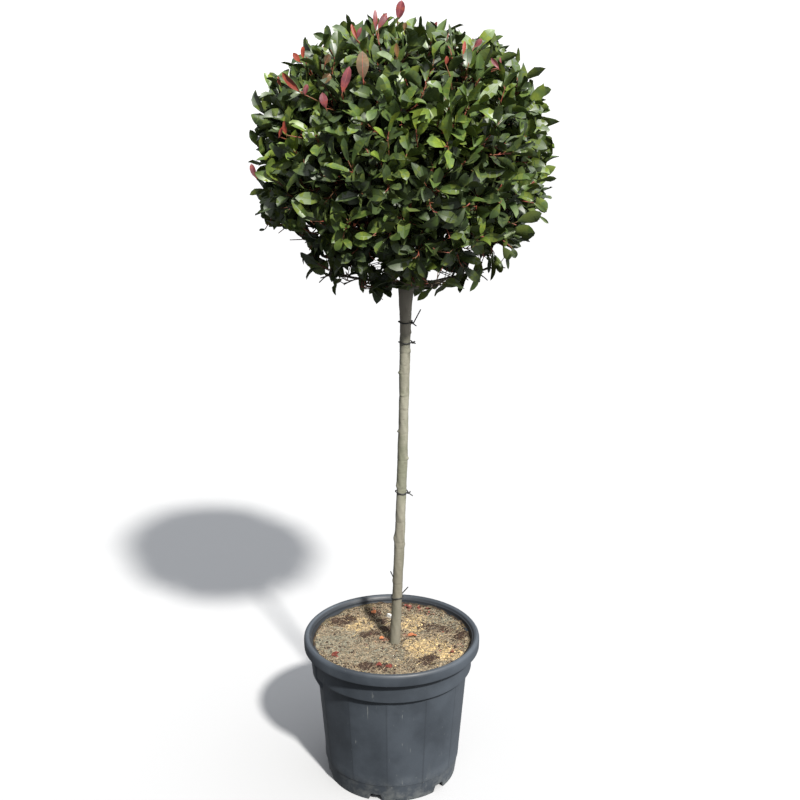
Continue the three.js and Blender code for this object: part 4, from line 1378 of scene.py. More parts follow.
@dataclass
class Stem:
    """The clear stem, from the soil to the knuckle where it forks, and its boughs.

    Attributes:
        foot: Height of its flat cut.
        dome: How far the knuckle rises over the fork.
        scar_width: Half width of its scars.
        crease: Depth and half height of the crease under each scar.
    """

    foot: float = 0.3183
    fork: float = 1.147
    dome: float = 0.017
    foot_x: float = 0.0075
    lean: float = 0.024
    bow: float = 0.004
    side_bow: float = 0.003
    radius: float = 0.0104
    taper: float = 0.0011
    flare: float = 0.001
    flare_reach: float = 0.016
    knuckle: float = 0.007
    knuckle_reach: float = 0.06
    scar_width: float = 0.0042
    crease: Span = (0.0004, 0.0016)
    columns: int = 56
    rows: int = 520
    low_boughs: int = 5
    low_rise: float = np.radians(11)
    low_length: float = 0.092
    low_radii: Span = (0.0054, 0.0034)
    steep_boughs: int = 3
    steep_turn: float = np.radians(36)
    steep_rise: float = np.radians(62)
    steep_radii: Span = (0.0058, 0.0041)
    steep_top: float = 1.21
    start_turn: float = np.radians(-4)
    sag: float = 0.005
    scars: tuple[Scar, ...] = (
        Scar(1.096, 25, 0.0016, 0.007), Scar(1.046, 60, 0.0024), Scar(1.005, 62, 0.0026, 0.005),
        Scar(0.957, -78, 0.003, 0.003), Scar(0.908, -20, 0.0016, 0.003), Scar(0.825, -84, 0.0032, 0.003),
        Scar(0.763, 84, 0.0028, 0.0035), Scar(0.7, -70, 0.0022, 0.006), Scar(0.623, 10, 0.0012, 0.008),
        Scar(0.575, -88, 0.0022, 0.009), Scar(0.56, 80, 0.0014, 0.008), Scar(0.472, -82, 0.0018, 0.006),
        Scar(0.88, 170, 0.0028), Scar(0.735, 140, 0.0024), Scar(0.98, -160, 0.0026),
    )

    def middle(self, height: Array) -> Array:
        """The middle line: a straight lean plus half a wave of bow in each direction.

        Args:
            height: Heights.

        Returns:
            Places, one a row.
        """
        along = np.clip((height - self.foot) / (self.fork - self.foot), 0, 1)
        bow = np.sin(np.pi * along)
        x = self.foot_x + self.lean * along + self.bow * bow
        return np.stack([x, self.side_bow * bow, height], axis=-1)

    def radius_at(self, height: Array) -> Array:
        """The radius: a taper, a flare and a knuckle that fade by exponentials, and a round dome.

        Args:
            height: Heights.

        Returns:
            Radii.
        """
        rise = np.clip((height - self.foot) / (self.fork - self.foot), 0, 1)
        flare = self.flare * np.exp(-(height - self.foot) / self.flare_reach)
        knuckle = self.knuckle * np.exp(-np.abs(self.fork - height) / self.knuckle_reach)
        over = np.clip((height - self.fork) / self.dome, 0, 1)
        smooth = self.radius + self.taper * (1 - rise) + flare + knuckle
        return smooth * np.sqrt(np.maximum(1 - over**2, 0))

    def relief(self, height: Array, turn: Array) -> Array:
        """Swellings of the bark: its scars, and long low waves up the stem and round it.

        Args:
            height: Heights, as a column.
            turn: Turns, as a row.

        Returns:
            Relief for the whole grid.
        """
        waves = 0.00035 * np.sin(31 * height + 2 * turn) + 0.0003 * np.sin(83 * height - 3 * turn)
        waves += 0.00022 * np.sin(190 * height + 5 * turn) * np.sin(47 * height)
        for scar in self.scars:
            off = (turn - np.radians(scar.turn) + np.pi) % TAU - np.pi
            above = height - scar.height
            waves += scar.proud * bump_at(above, off * self.radius, scar.tall, self.scar_width)
            waves -= self.crease[0] * bump_at(above + scar.tall, 0 * turn, self.crease[1], 1)
        return waves

    def trunk(self) -> Array:
        """The trunk: rings about the middle line, with the relief added to the radius.

        Returns:
            Points, shape (rows, columns, 3).
        """
        share = np.linspace(0, 1, self.rows)
        share += 0.02 * np.sin(TAU * share) * (share > 0.5)
        height = self.foot + (self.fork + self.dome * 0.995 - self.foot) * share
        turn = full_turn(self.columns)
        column = height[:, None]
        fade = np.clip((self.fork + self.dome - column) / self.dome, 0, 1)
        reach = self.radius_at(height)[:, None] + self.relief(column, turn) * fade
        return self.middle(height)[:, None] + round_points(turn, reach, 0)

    def boughs(self) -> Limbs:
        """The boughs by the source's rule: low ones a fifth of a turn apart, steep ones a third.

        They leave the knuckle's middle, and each sags on its way to its tip.

        Returns:
            The limbs, the low boughs first.
        """
        knuckle = np.array([self.foot_x + self.lean, 0, self.fork - 0.002])
        low, steep = np.arange(self.low_boughs), np.arange(self.steep_boughs)
        start = np.pi / 2 + self.start_turn
        low_turn = start + 0.07 * sway(low, 11) + low * TAU / self.low_boughs
        steep_turn = start + self.steep_turn + steep * TAU / self.steep_boughs
        climb = (self.steep_top - knuckle[2]) / np.sin(self.steep_rise)
        turns = np.concatenate([low_turn, steep_turn])
        rises = np.concatenate([self.low_rise + 0.05 * sway(low, 12), self.steep_rise + 0 * steep])
        counts = [self.low_boughs, self.steep_boughs]
        lengths = np.repeat([self.low_length, climb], counts)
        feet = np.tile(knuckle, (len(turns), 1))
        tips = feet + heading(turns, rises) * lengths[:, None]
        middles = feet + (tips - feet) * 0.55 - UP * (self.sag * np.cos(rises))[:, None]
        return Limbs(feet, middles, tips, np.repeat([self.low_radii, self.steep_radii], counts, axis=0))

    def build(self) -> None:
        """Builds and dresses the trunk and boughs as one piece of bark."""
        work = Patchwork()
        trunk = self.trunk()
        work.add_closed(trunk, np.stack([trunk[0].mean(axis=0), trunk[-1].mean(axis=0) + [0, 0, 0.0004]]))
        self.boughs().draw(work, 14, 12)
        limbs = tuple(f"bough_{number + 1}" for number in range(self.low_boughs + self.steep_boughs))
        work.piece("stem_bark", [Bark().material()], "bark", ("trunk", *limbs), np.radians(50))


@dataclass
class Tie:
    """One wire tie: twice twisted at its knot, with two cut ends.

    Attributes:
        turn: Where its knot lies.
        upper, lower: Turn, rise and length of its two ends.
        gap: Half the turn left open at the knot.
        dip: How far the loop may dip in front.
        ripple: How far it rises and falls twice on its way round.
    """

    height: float
    turn: float
    upper: Place
    lower: Place
    number: int
    thickness: float = 0.0026
    slack: float = 0.0009
    twist: float = 0.0045
    gap: float = 0.14
    dip: float = 0.0022
    ripple: float = 0.0012

    def path(self, stem: Stem) -> Array:
        """The wire's middle line: an end, half the twist, the loop, the other half and the other end.

        The twist is a helix about the line out from the knot; the loop dips in front by a cosine.

        Args:
            stem: The stem that it is tied round.

        Returns:
            Points, one a row.
        """
        height = np.array([self.height])
        centre = stem.middle(height)[0]
        reach = float(stem.radius_at(height)[0]) + self.slack + self.thickness / 2
        around = np.linspace(self.gap, TAU - self.gap, 60)
        dip = self.dip * sway(self.number, 61)
        loop = heading(self.turn + around, 0 * around) * reach
        loop[:, 2] += dip * np.cos(around - np.pi) + self.ripple * np.sin(2 * around)
        out = heading(self.turn, 0)
        side = heading(self.turn + np.pi / 2, 0)
        share = np.linspace(0, 1, 14)[:, None]
        spiral = TAU * share
        ring = np.cos(spiral) * side + np.sin(spiral) * UP
        knot = out * (reach + self.thickness * 0.6 + self.twist * share) + 0 * ring
        apart = ring * self.thickness * 0.55
        first, second = knot + apart, knot - apart
        up = heading(*self.upper[:2]) * self.upper[2]
        down = heading(*self.lower[:2]) * self.lower[2]
        reach_out = np.linspace(0.2, 1, 8)[:, None]
        ends = (first[-1] + up * reach_out)[::-1], second[-1] + down * reach_out
        return centre + np.concatenate([ends[0], first[::-1], loop, second, ends[1]])

    def build(self, stem: Stem, finish: Material) -> None:
        """Builds and dresses the tie.

        Args:
            stem: The stem that it is tied round.
            finish: Its material.
        """
        path = self.path(stem)
        name = self.number + 1
        work = Patchwork()
        work.add_tubes(path[None], np.full((1, len(path)), self.thickness / 2), 8, upright=True)
        work.piece(f"tie_wire_{name}", [finish], "tie_plastic", (f"stem_tie_{name}",))


# The head: its outline, its wood and its leaves


@dataclass
class Head:
    """The clipped outline: a squarish ball that reaches a little less far down than up.

    Attributes:
        squareness: The power of the outline; 2 is an ellipse.
        floor: Height under which the open skirt takes over.
        lobes: Where it bulges, from the centre.
    """

    centre: Place = (0.020, 0.0, 1.395)
    reach: float = 0.306
    rise: float = 0.274
    drop: float = 0.258
    squareness: float = 2.25
    floor: float = 1.213
    lobes: tuple[Place, ...] = ((0.28, -0.02, 0.185), (0.15, -0.02, 0.255), (-0.10, -0.05, 0.265))
    lobe_gain: float = 0.06
    lobe_spread: float = 0.06

    def share(self, points: Array) -> Array:
        """How far out points lie: 0 at the middle, 1 on the outline.

        It is the root of the sum of powers of the level and upright distances, a little less towards a lobe.

        Args:
            points: Places.

        Returns:
            Shares.
        """
        off = points - np.array(self.centre)
        upright = np.abs(off[..., 2]) / np.where(off[..., 2] > 0, self.rise, self.drop)
        level = np.hypot(off[..., 0], off[..., 1]) / self.reach
        whole = (level**self.squareness + upright**self.squareness) ** (1 / self.squareness)
        near = unit(off) @ unit(np.array(self.lobes)).T
        return whole * (1 - self.lobe_gain * np.exp((near - 1) / self.lobe_spread).max(axis=-1))

    def place(self, directions: Array, share: Array | float) -> Array:
        """Places in directions from the middle, at a share of the way to the outline."""
        centre = np.array(self.centre)
        whole = self.share(centre + directions)
        return centre + directions * (share / whole)[..., None]

    def spread(self, count: int, share: float, wander: float, salt: int) -> Array:
        """Tips spread over the head on a golden spiral, leant off it by the source's rule.

        Args:
            count: How many.
            share: How far out they lie.
            wander: How far that varies.
            salt: Keeps this level's scatter apart.

        Returns:
            Places, one a row.
        """
        index = np.arange(count)
        directions = unit(golden_spiral(count) + leaning(index, salt) * 1.1 / np.sqrt(count))
        return self.place(directions, share + wander * sway(index, salt + 4))


@dataclass
class Leaves(Batch):
    """A batch of leaves on their stalks.

    Attributes:
        feet: Where the stalks leave the wood.
        along, normals: Which way the leaves point, and which way their upper sides face.
        curl: How far each blade bends back over its length, in radians.
        numbers: A number for each leaf, for its scatter.
        stations: Shares of the way along a blade at which it has points.
        stalk: Length of the stalk, as a share of the blade's.
        stalk_radii, midrib: Radii of the stalk's ends and half the midrib, as shares of the width.
    """

    feet: Array
    along: Array
    normals: Array
    lengths: Array
    widths: Array
    curl: Array
    numbers: Array
    stations: tuple[float, ...] = (0.09, 0.27, 0.48, 0.69, 0.87)
    stalk: float = 0.16
    stalk_radii: Span = (0.056, 0.032)
    thickness: float = 0.0005
    midrib: float = 0.04

    @classmethod
    def on(
        cls, shoots: Limbs, count: int, salt: int, length: float, slimness: float, spread: Span,
        first: float = 0.3,
    ) -> "Leaves":
        """Leaves set round shoots, each a golden angle on from the last.

        A leaf's direction is a mix of the shoot's own and the one square to it, which opens from the tip
        towards the foot, with a lean to the light. Its upper side faces the shoot's tip and the sky.

        Args:
            shoots: The shoots.
            count: Leaves on each shoot.
            salt: Keeps their scatter apart.
            length: Mean blade length.
            slimness: Width as a share of the length.
            spread: Angle off the shoot of the lowest and of the last leaf.
            first: The share of the shoot at which the leaves begin.

        Returns:
            The leaves.
        """
        shoot = np.repeat(np.arange(len(shoots.tips)), count)
        order = np.tile(np.arange(count), len(shoots.tips))
        number = np.arange(len(shoot))
        share = first + (1 - first) * (order + 0.75 + 0.2 * sway(number, salt)) / count
        share = np.minimum(share, 1.0)
        axis = shoots.pointing(shoot, share)
        square = unit(np.cross(axis, heading(2.1 * shoot, 0.3 + 0 * share)))
        start = TAU * scatter(shoot, salt + 1)
        turn = (order * GOLDEN_ANGLE + start + 0.4 * sway(number, salt + 2))[:, None]
        outward = np.cos(turn) * square + np.sin(turn) * np.cross(axis, square)
        opening = (1 - share) / (1 - first)
        angle = spread[1] + (spread[0] - spread[1]) * opening + 0.3 * sway(number, salt + 3)
        along = unit(axis * np.cos(angle)[:, None] + outward * np.sin(angle)[:, None] + 0.16 * UP)
        normals = squared(axis + 0.45 * UP + 0.75 * leaning(number, salt + 3), along)
        grown = 0.80 + 0.20 * np.minimum(1, 4 * opening + 0.25)
        size = length * (1 + 0.26 * sway(number, salt + 7)) * grown
        width = size * slimness * (1 + 0.14 * sway(number, salt + 8))
        curl = 0.1 + 1.2 * scatter(number, salt + 9) ** 1.4
        feet = shoots.at(shoot, share)
        return cls(feet, along, normals, size, width, curl, number + 7 * salt)

    def ends(self) -> Array:
        """About where the blades end."""
        return self.feet + self.along * (self.lengths * (1 + self.stalk))[:, None]

    def blades(self) -> Array:
        """Points of the blades: a foot, a tip, and five at each station between.

        The half width is the sine of pi times the way along to the power 1.22, all to the power 0.7. The
        middle line is an arc; both halves fold up from it by an angle, and a wave runs along their edges.

        Returns:
            Points, shape (leaves, points, 3).
        """
        number = self.numbers[:, None]
        t = np.array([0, 1, *self.stations])
        bend = self.curl[:, None] * t
        forward = self.lengths[:, None] * np.sin(bend) / self.curl[:, None]
        down = -self.lengths[:, None] * (1 - np.cos(bend)) / self.curl[:, None]
        side = np.cross(self.along, self.normals)[:, None]
        along, normal = self.along[:, None], self.normals[:, None]
        start = self.feet + self.along * (self.lengths * self.stalk)[:, None]
        middle = start[:, None] + along * forward[..., None] + normal * down[..., None]
        facing = normal * np.cos(bend)[..., None] + along * np.sin(bend)[..., None]
        twist = 0.9 * sway(number, 21) * t
        across = side * np.cos(twist)[..., None] + facing * np.sin(twist)[..., None]
        facing = facing * np.cos(twist)[..., None] - side * np.sin(twist)[..., None]
        half = self.widths[:, None] / 2 * np.maximum(np.sin(np.pi * t**1.22), 0) ** 0.7
        rib = self.widths[:, None] * self.midrib * (1 - 0.75 * t) * (half > 0)
        fold = 0.08 + 0.75 * scatter(number, 22) ** 1.5
        wave = 0.08 * self.widths[:, None] * np.sin(9 * t + 6.3 * scatter(number, 23))
        offsets = np.stack([-half, -rib, rib, half], axis=-1)[:, 2:]
        lift = np.abs(offsets) * np.tan(fold)[..., None]
        lift[..., 0] += wave[:, 2:]
        lift[..., 3] -= wave[:, 2:]
        line, wide, proud = middle[:, 2:, None], across[:, 2:, None], facing[:, 2:, None]
        shell = line + wide * offsets[..., None] + proud * lift[..., None]
        body = np.concatenate([shell, line - proud * self.thickness], axis=2)
        body = body.reshape(len(self.feet), -1, 3)
        return np.concatenate([middle[:, :2], body], axis=1)

    def draw(self, work: Patchwork) -> None:
        """Adds the blades to a patchwork: finish 0 above, 1 below and 2 on the midrib.

        Args:
            work: The patchwork.
        """
        points = self.blades()
        count, stride = points.shape[:2]
        rows = 2 + 5 * np.arange(len(self.stations) - 1)[:, None]
        last = 2 + 5 * (len(self.stations) - 1)
        # The foot, the tip, and the first and fourth point at each station
        rim = np.isin(np.arange(stride) % 5, (0, 2))
        rim[1] = True
        work.add(points, rim=np.tile(rim, count))
        for left, right, finish in ((0, 1, 0), (1, 2, 2), (2, 3, 0), (3, 4, 1), (4, 0, 1)):
            quads = rows + np.array([left, right, right + 5, left + 5])
            ends = np.array([[0, 2 + right, 2 + left], [last + left, last + right, 1]])
            work.add_faces(repeated(quads, count, stride), finish)
            work.add_faces(repeated(ends, count, stride), finish)

    def draw_stalks(self, work: Patchwork) -> None:
        """Adds the stalks to a patchwork as three-sided tubes."""
        ends = self.feet + self.along * (self.lengths * self.stalk * 1.25)[:, None]
        radii = self.widths[:, None] * self.stalk_radii
        work.add_tubes(np.stack([self.feet, ends], axis=1), radii, 3)


# The single leaves that stand out in the photograph, and some like them behind: foot, tip and width, in
# millimetres
SINGLE_LEAVES: dict[LeafKind, Array] = {
    LeafKind.DEEP: np.array([
        (-113, -60, 1205, -121, -63, 1163, 16), (-117, -60, 1201, -99, -63, 1171, 14),
        (-78, -60, 1205, -68, -63, 1183, 14), (-26, -60, 1189, -22, -63, 1163, 14),
        (-5, -60, 1177, -8, -63, 1138, 20), (25, -60, 1205, 15, -63, 1185, 16),
        (147, -60, 1205, 135, -63, 1155, 14),
        (199, -60, 1220, 202, -63, 1181, 8), (233, -60, 1226, 242, -63, 1190, 8),
        (240, -117, 1243, 248, -120, 1223, 14), (-175, -60, 1220, -178, -63, 1200, 6),
        (-253, -52, 1271, -265, -55, 1268, 6), (139, -267, 1342, 94, -270, 1304, 28),
    ]),
    LeafKind.MID: np.array([
        (278, -134, 1333, 306, -137, 1316, 8), (183, -60, 1197, 164, -63, 1142, 20),
        (297, -47, 1297, 320, -50, 1283, 7), (-147, -232, 1311, -186, -235, 1349, 17),
        (205, -227, 1344, 188, -230, 1313, 17), (175, -225, 1281, 216, -228, 1281, 21),
    ]),
    LeafKind.BRIGHT: np.array([
        (-171, -60, 1216, -135, -63, 1177, 25), (-56, -60, 1203, -57, -63, 1140, 19),
        (-87, -252, 1283, -103, -255, 1259, 15), (-31, -272, 1290, -65, -275, 1288, 16),
        (174, -244, 1324, 171, -247, 1288, 11), (111, -259, 1284, 135, -262, 1292, 15),
    ]),
    LeafKind.BRONZE: np.array([
        (27, -106, 1653, 30, -110, 1667, 9), (-47, -239, 1565, -50, -243, 1615, 24),
        (-119, -174, 1592, -111, -178, 1610, 13), (-121, -211, 1557, -110, -215, 1577, 15),
        (14, -210, 1603, 12, -214, 1629, 10), (88, 122, 1636, 76, 130, 1664, 11),
        (10, 230, 1556, 8, 246, 1596, 18),
    ]),
    LeafKind.YOUNG: np.array([
        (15, -19, 1673, 23, -23, 1710, 18), (-26, -103, 1651, -30, -107, 1691, 9),
        (-23, -87, 1655, -7, -91, 1686, 12), (-17, -67, 1659, 0, -71, 1679, 7),
        (-63, -134, 1635, -53, -138, 1658, 8), (-155, -202, 1538, -152, -206, 1557, 10),
        (-114, -244, 1515, -123, -248, 1543, 15), (158, -118, 1622, 173, -122, 1637, 11),
        (204, -142, 1583, 190, -146, 1604, 9), (206, -136, 1585, 207, -140, 1604, 7),
        (-261, -107, 1378, -272, -111, 1405, 12), (90, 120, 1640, 95, 125, 1675, 13),
        (90, 120, 1636, 108, 130, 1666, 12), (-98, 152, 1612, -90, 164, 1640, 11),
        (198, 130, 1574, 214, 140, 1602, 13), (14, 230, 1554, 30, 246, 1584, 13),
        (-208, 130, 1490, -228, 146, 1520, 14), (-85, -242, 1542, -72, -246, 1589, 16),
    ]),
    LeafKind.EMBER: np.array([
        (-61, -136, 1635, -72, -140, 1663, 8), (-165, -100, 1602, -166, -104, 1624, 10),
        (-170, -109, 1595, -183, -113, 1612, 11), (-165, -188, 1543, -199, -192, 1576, 15),
        (-206, -127, 1550, -211, -131, 1570, 7), (-191, -205, 1466, -196, -209, 1492, 11),
        (-206, -191, 1462, -198, -195, 1482, 9), (135, -168, 1608, 140, -172, 1633, 7),
        (102, -207, 1592, 104, -211, 1606, 8), (-100, 150, 1612, -110, 160, 1642, 12),
        (196, 134, 1572, 200, 152, 1602, 12), (-204, 136, 1486, -210, 160, 1512, 12),
    ]),
}
# Where the photograph shows sky, as ellipses in the stem's plane: middle (X, Z), half width, half height, in
# millimetres, and whether twigs may cross it
OPENINGS: Array = np.array([
    (-221, 1243, 29, 23, 1), (-178, 1224, 15, 10, 0), (-166, 1270, 6, 10, 0), (-150, 1255, 6, 6, 0),
    (-111, 1260, 4, 3, 0), (-70, 1272, 10, 5, 0), (-47, 1274, 5, 6, 0), (-136, 1224, 6, 6, 0),
    (-89, 1222, 5, 5, 0), (-147, 1201, 6, 5, 0), (-125, 1189, 7, 6, 0), (-91, 1185, 8, 8, 0),
    (-29, 1197, 6, 13, 0), (17, 1164, 4, 6, 0), (112, 1258, 6, 9, 0), (48, 1231, 4, 6, 0),
    (156, 1229, 6, 8, 0), (172, 1220, 8, 5, 0), (169, 1197, 7, 8, 0), (194, 1193, 12, 6, 1),
    (222, 1226, 8, 15, 1), (106, 1180, 10, 3, 0), (109, 1164, 31, 8, 0), (27, 1159, 4, 6, 0),
    (-215, 1190, 26, 18, 0), (-150, 1158, 26, 12, 0), (-81, 1151, 18, 15, 0), (179, 1313, 5, 4, 0),
    (-6, 1343, 3, 4, 0),
])


@dataclass
class Canopy:
    """All that grows on from the boughs: limbs, twigs, shoots and leaves of the crown and of the skirt.

    Attributes:
        shoot_count, inner_count: Leafy shoots under the outline and deeper in.
        leaf_length, slimness: Mean length of a blade, and its width as a share of that.
        limit: The head's share up to which leaves may end.
        least, most: The X and Y between which they end.
        single_numbers: The first number of the leaves that are placed one by one.
        leafy: Heights between which the underside fills up with leaves.
        bare: The share of leaves that is missing below.
        deals: Each common kind of leaf and the scatter up to which sprays get it.
        bright_top: Height above which no spray is bright; below it the bright kind is partly painted light,
            the glow of sun through leaves.
    """

    head: Head = field(default_factory=Head)
    limb_count: int = 26
    twig_count: int = 150
    shoot_count: int = 560
    inner_count: int = 120
    leaves_each: int = 9
    leaf_length: float = 0.049
    slimness: float = 0.42
    limit: float = 1.06
    least: Span = (-0.284, -0.318)
    most: Span = (0.346, 0.303)
    single_numbers: int = 9000
    leafy: Span = (1.18, 1.28)
    bare: float = 0.34
    deals: tuple[tuple[LeafKind, float], ...] = (
        (LeafKind.DEEP, 0.48), (LeafKind.MID, 0.83), (LeafKind.BRIGHT, 1.0),
    )
    bright_top: float = 1.52
    skirt_rise: float = np.radians(14)
    skirt_reach: float = 0.084
    skirt_radii: Span = (0.0034, 0.0018)
    side_twigs: int = 7
    side_length: float = 0.044
    side_radii: Span = (0.0018, 0.0011)

    def crown_wood(self, boughs: Limbs) -> tuple[Limbs, Limbs]:
        """The limbs and twigs of the crown.

        Args:
            boughs: The steep boughs.

        Returns:
            The limbs and the twigs.
        """
        floor = self.head.floor
        tips = self.head.spread(self.limb_count, share=0.50, wander=0.06, salt=60)
        limbs = boughs.grown(tips[tips[:, 2] > floor + 0.03], 66, radii=(0.0046, 0.0026), lowest=0.25)
        tips = self.head.spread(self.twig_count, share=0.73, wander=0.05, salt=70)
        return limbs, limbs.grown(tips[tips[:, 2] > floor], 76, radii=(0.0025, 0.0014))

    def skirt_wood(self, boughs: Limbs) -> Limbs:
        """The skirt's stems and side twigs by the source's rule.

        A stem runs on from each low bough; its side twigs leave it turn about, more squarely near its foot.

        Args:
            boughs: The low boughs.

        Returns:
            The stems, then the twigs.
        """
        out = boughs.tips - boughs.feet
        turn = np.arctan2(out[:, 0], -out[:, 1])
        tips = boughs.tips + heading(turn, self.skirt_rise + 0 * turn) * self.skirt_reach
        bends = (boughs.tips + tips) / 2 - np.array([0, 0, 0.003])
        stems = Limbs.even(boughs.tips, bends, tips, self.skirt_radii)
        spray = np.repeat(np.arange(len(tips)), self.side_twigs)
        order = np.tile(np.arange(self.side_twigs), len(tips))
        seed = 200 + 20 * spray + order
        share = 0.12 + 0.88 * order / (self.side_twigs - 1)
        side = np.where(order % 2, -1, 1) * (0.75 - 0.55 * share) + 0.15 * sway(seed, 5)
        rise = 0.05 + 0.4 * sway(seed, 6)
        length = self.side_length * (0.75 + 0.35 * scatter(seed, 7))
        feet = stems.at(spray, share)
        ends = feet + heading(turn[spray] + side, rise) * length[:, None]
        bends = feet + stems.pointing(spray, share) * length[:, None] * 0.4
        return stems.joined(Limbs.even(feet, bends, ends, self.side_radii))

    def shoots(self, twigs: Limbs, skirt: Limbs) -> tuple[Limbs, Limbs]:
        """The leafy shoots: those of the crown, from its twigs, and those below, from the skirt.

        Args:
            twigs: The crown's twigs.
            skirt: The skirt's stems and twigs.

        Returns:
            The crown's shoots, and the ones below.
        """
        floor, thin = self.head.floor, (0.0013, 0.0007)
        outer = self.head.spread(self.shoot_count, share=0.875, wander=0.08, salt=80)
        inner = self.head.spread(self.inner_count, share=0.66, wander=0.07, salt=90)
        crown = twigs.grown(outer[outer[:, 2] > floor], 86, radii=(0.0016, 0.0009), lift=0.34)
        deeper = twigs.grown(inner[inner[:, 2] > floor + 0.02], 96, thin, lowest=0.3)
        below = outer[outer[:, 2] <= floor]
        below = below[(scatter(np.arange(len(below)), 99) < 0.8) & self.clear(below, 0.0)]
        return crown.joined(deeper), skirt.grown(below, 97, thin, lowest=0.25, lift=0.1)

    def kept(self, leaves: Leaves, spray: Array) -> Array:
        """Marks of the leaves that end inside the clipped outline and clear of the sky.

        Towards the underside fewer leaves stay, mostly a whole shoot at a time, which bares the twigs there.

        Args:
            leaves: The leaves.
            spray: The scatter of each leaf's shoot.

        Returns:
            The marks.
        """
        ends = leaves.ends()
        inside = self.head.share(ends) < self.limit + 0.035 * sway(leaves.numbers, 31)
        between = np.all((ends[:, :2] > self.least) & (ends[:, :2] < self.most), axis=1)
        foot, top = self.leafy
        leafy = 1 - self.bare + self.bare * np.clip((ends[:, 2] - foot) / (top - foot), 0, 1)
        stays = 0.45 * scatter(leaves.numbers, 32) + 0.55 * (7.31 * spray % 1) < leafy
        kept = inside & between & stays
        for share in (0.2, 0.5, 0.8, 1.0):
            kept &= self.clear(leaves.feet + (ends - leaves.feet) * share, 0.003)
        return kept

    def clear(self, points: Array, margin: float) -> Array:
        """Marks of the points that leave the openings free, as seen from the front.

        A point is carried along its line of sight to the stem's plane. There an opening is an ellipse.

        Args:
            points: Places, one a row.
            margin: How far to stay away; twigs, with none, may cross the twiggy openings.

        Returns:
            The marks.
        """
        scale = CAMERA_PLACE[1] / (CAMERA_PLACE[1] - points[:, 1])
        seen = CAMERA_PLACE + (points - CAMERA_PLACE) * scale[:, None]
        x, height, half_width, half_height = OPENINGS[:, :4].T / 1000
        across = (seen[:, :1] - x) / (half_width + margin)
        upward = (seen[:, 2:] - height) / (half_height + margin)
        passable = (OPENINGS[:, 4] == 1) & (margin == 0)
        return np.all((np.hypot(across, upward) > 1) | passable, axis=1)

    def placed_leaves(self, kind: LeafKind) -> Leaves:
        """The single leaves of one kind, drawn from foot to tip with their upper sides turned outwards.

        Args:
            kind: The kind.

        Returns:
            The leaves.
        """
        rows = SINGLE_LEAVES[kind] / 1000
        feet, widths = rows[:, :3], rows[:, 6]
        reach = rows[:, 3:6] - feet
        number = self.single_numbers + 100 * list(LeafKind).index(kind) + np.arange(len(rows))
        curl = 0.15 + 0.4 * scatter(number, 43)
        front = 0.9 * (feet[:, 1:2] < 0.05) * unit(CAMERA_PLACE - feet)
        feet = feet - reach * Leaves.stalk
        out = unit(feet - np.array(self.head.centre)) * [1, 1, 0.2] + 0.35 * leaning(number, 50) + front
        along, length = unit(reach), np.linalg.norm(reach, axis=1)
        return Leaves(feet, along, squared(out, along), length, widths, curl, number)

    def placed_shoots(self, twigs: Limbs, skirt: Limbs) -> Limbs:
        """Thin shoots that carry the single leaves, from the nearest wood of the crown or of the skirt."""
        feet = np.concatenate(list(SINGLE_LEAVES.values()))[:, :3] / 1000
        low = feet[:, 2] < self.head.floor + 0.03
        upper = twigs.grown(feet[~low], 101, radii=(0.0014, 0.0009), lowest=0.7)
        return upper.joined(skirt.grown(feet[low], 103, radii=(0.0013, 0.0008), lowest=0.3))

    def deal(self, shoots: Limbs) -> dict[LeafKind, Leaves]:
        """Sets leaves on the shoots and deals them out by kind, a whole shoot at a time.

        Args:
            shoots: The common shoots.

        Returns:
            The leaves of each kind, with the single leaves of that kind.
        """
        leaves = Leaves.on(shoots, self.leaves_each, 110, self.leaf_length, self.slimness, spread=(1.2, 0.4))
        spray = np.repeat(scatter(np.arange(len(shoots.tips)), 120), self.leaves_each)
        kept = self.kept(leaves, spray)
        high = np.repeat(shoots.tips[:, 2] > self.bright_top, self.leaves_each)
        spray = np.where(high, spray * self.deals[-2][1], spray)
        dealt = {kind: self.placed_leaves(kind) for kind in LeafKind}
        least = 0.0
        for kind, most in self.deals:
            dealt[kind] = dealt[kind].joined(leaves.picked(kept & (spray >= least) & (spray < most)))
            least = most
        return dealt

    def build(self, stem: Stem) -> None:
        """Builds and dresses the wood and the leaves, each kind as one piece.

        Args:
            stem: The stem that it all grows on.
        """
        boughs = stem.boughs()
        limbs, twigs = self.crown_wood(boughs.picked(slice(stem.low_boughs, None)))
        skirt = self.skirt_wood(boughs.picked(slice(stem.low_boughs)))
        above, below = self.shoots(twigs, skirt)
        nodes = ("crown", *(f"skirt_spray_{number + 1}" for number in range(stem.low_boughs)))
        wood = Patchwork()
        limbs.draw(wood, 7, 7)
        twigs.draw(wood, 6, 5)
        skirt.draw(wood, 6, 7)
        below.draw(wood, 5, 4)
        brown = TwigBark("twig_bark", srgb(50, 42, 34), srgb(74, 64, 52)).material()
        wood.piece("twigs", [brown], "bark", nodes)
        dealt = self.deal(above.joined(below))
        green = Patchwork()
        above.draw(green, 5, 4)
        self.placed_shoots(twigs, skirt).draw(green, 5, 4)
        for leaves in dealt.values():
            leaves.draw_stalks(green)
        red = TwigBark("shoot_bark", srgb(120, 56, 44), srgb(92, 72, 44), gloss=0.5).material()
        green.piece("shoots_and_stalks", [red], "foliage", nodes)
        for kind, leaves in dealt.items():
            work = Patchwork()
            leaves.draw(work)
            work.piece(f"leaves_{kind.name.lower()}", kind.finishes(), "foliage", nodes)


# The studio


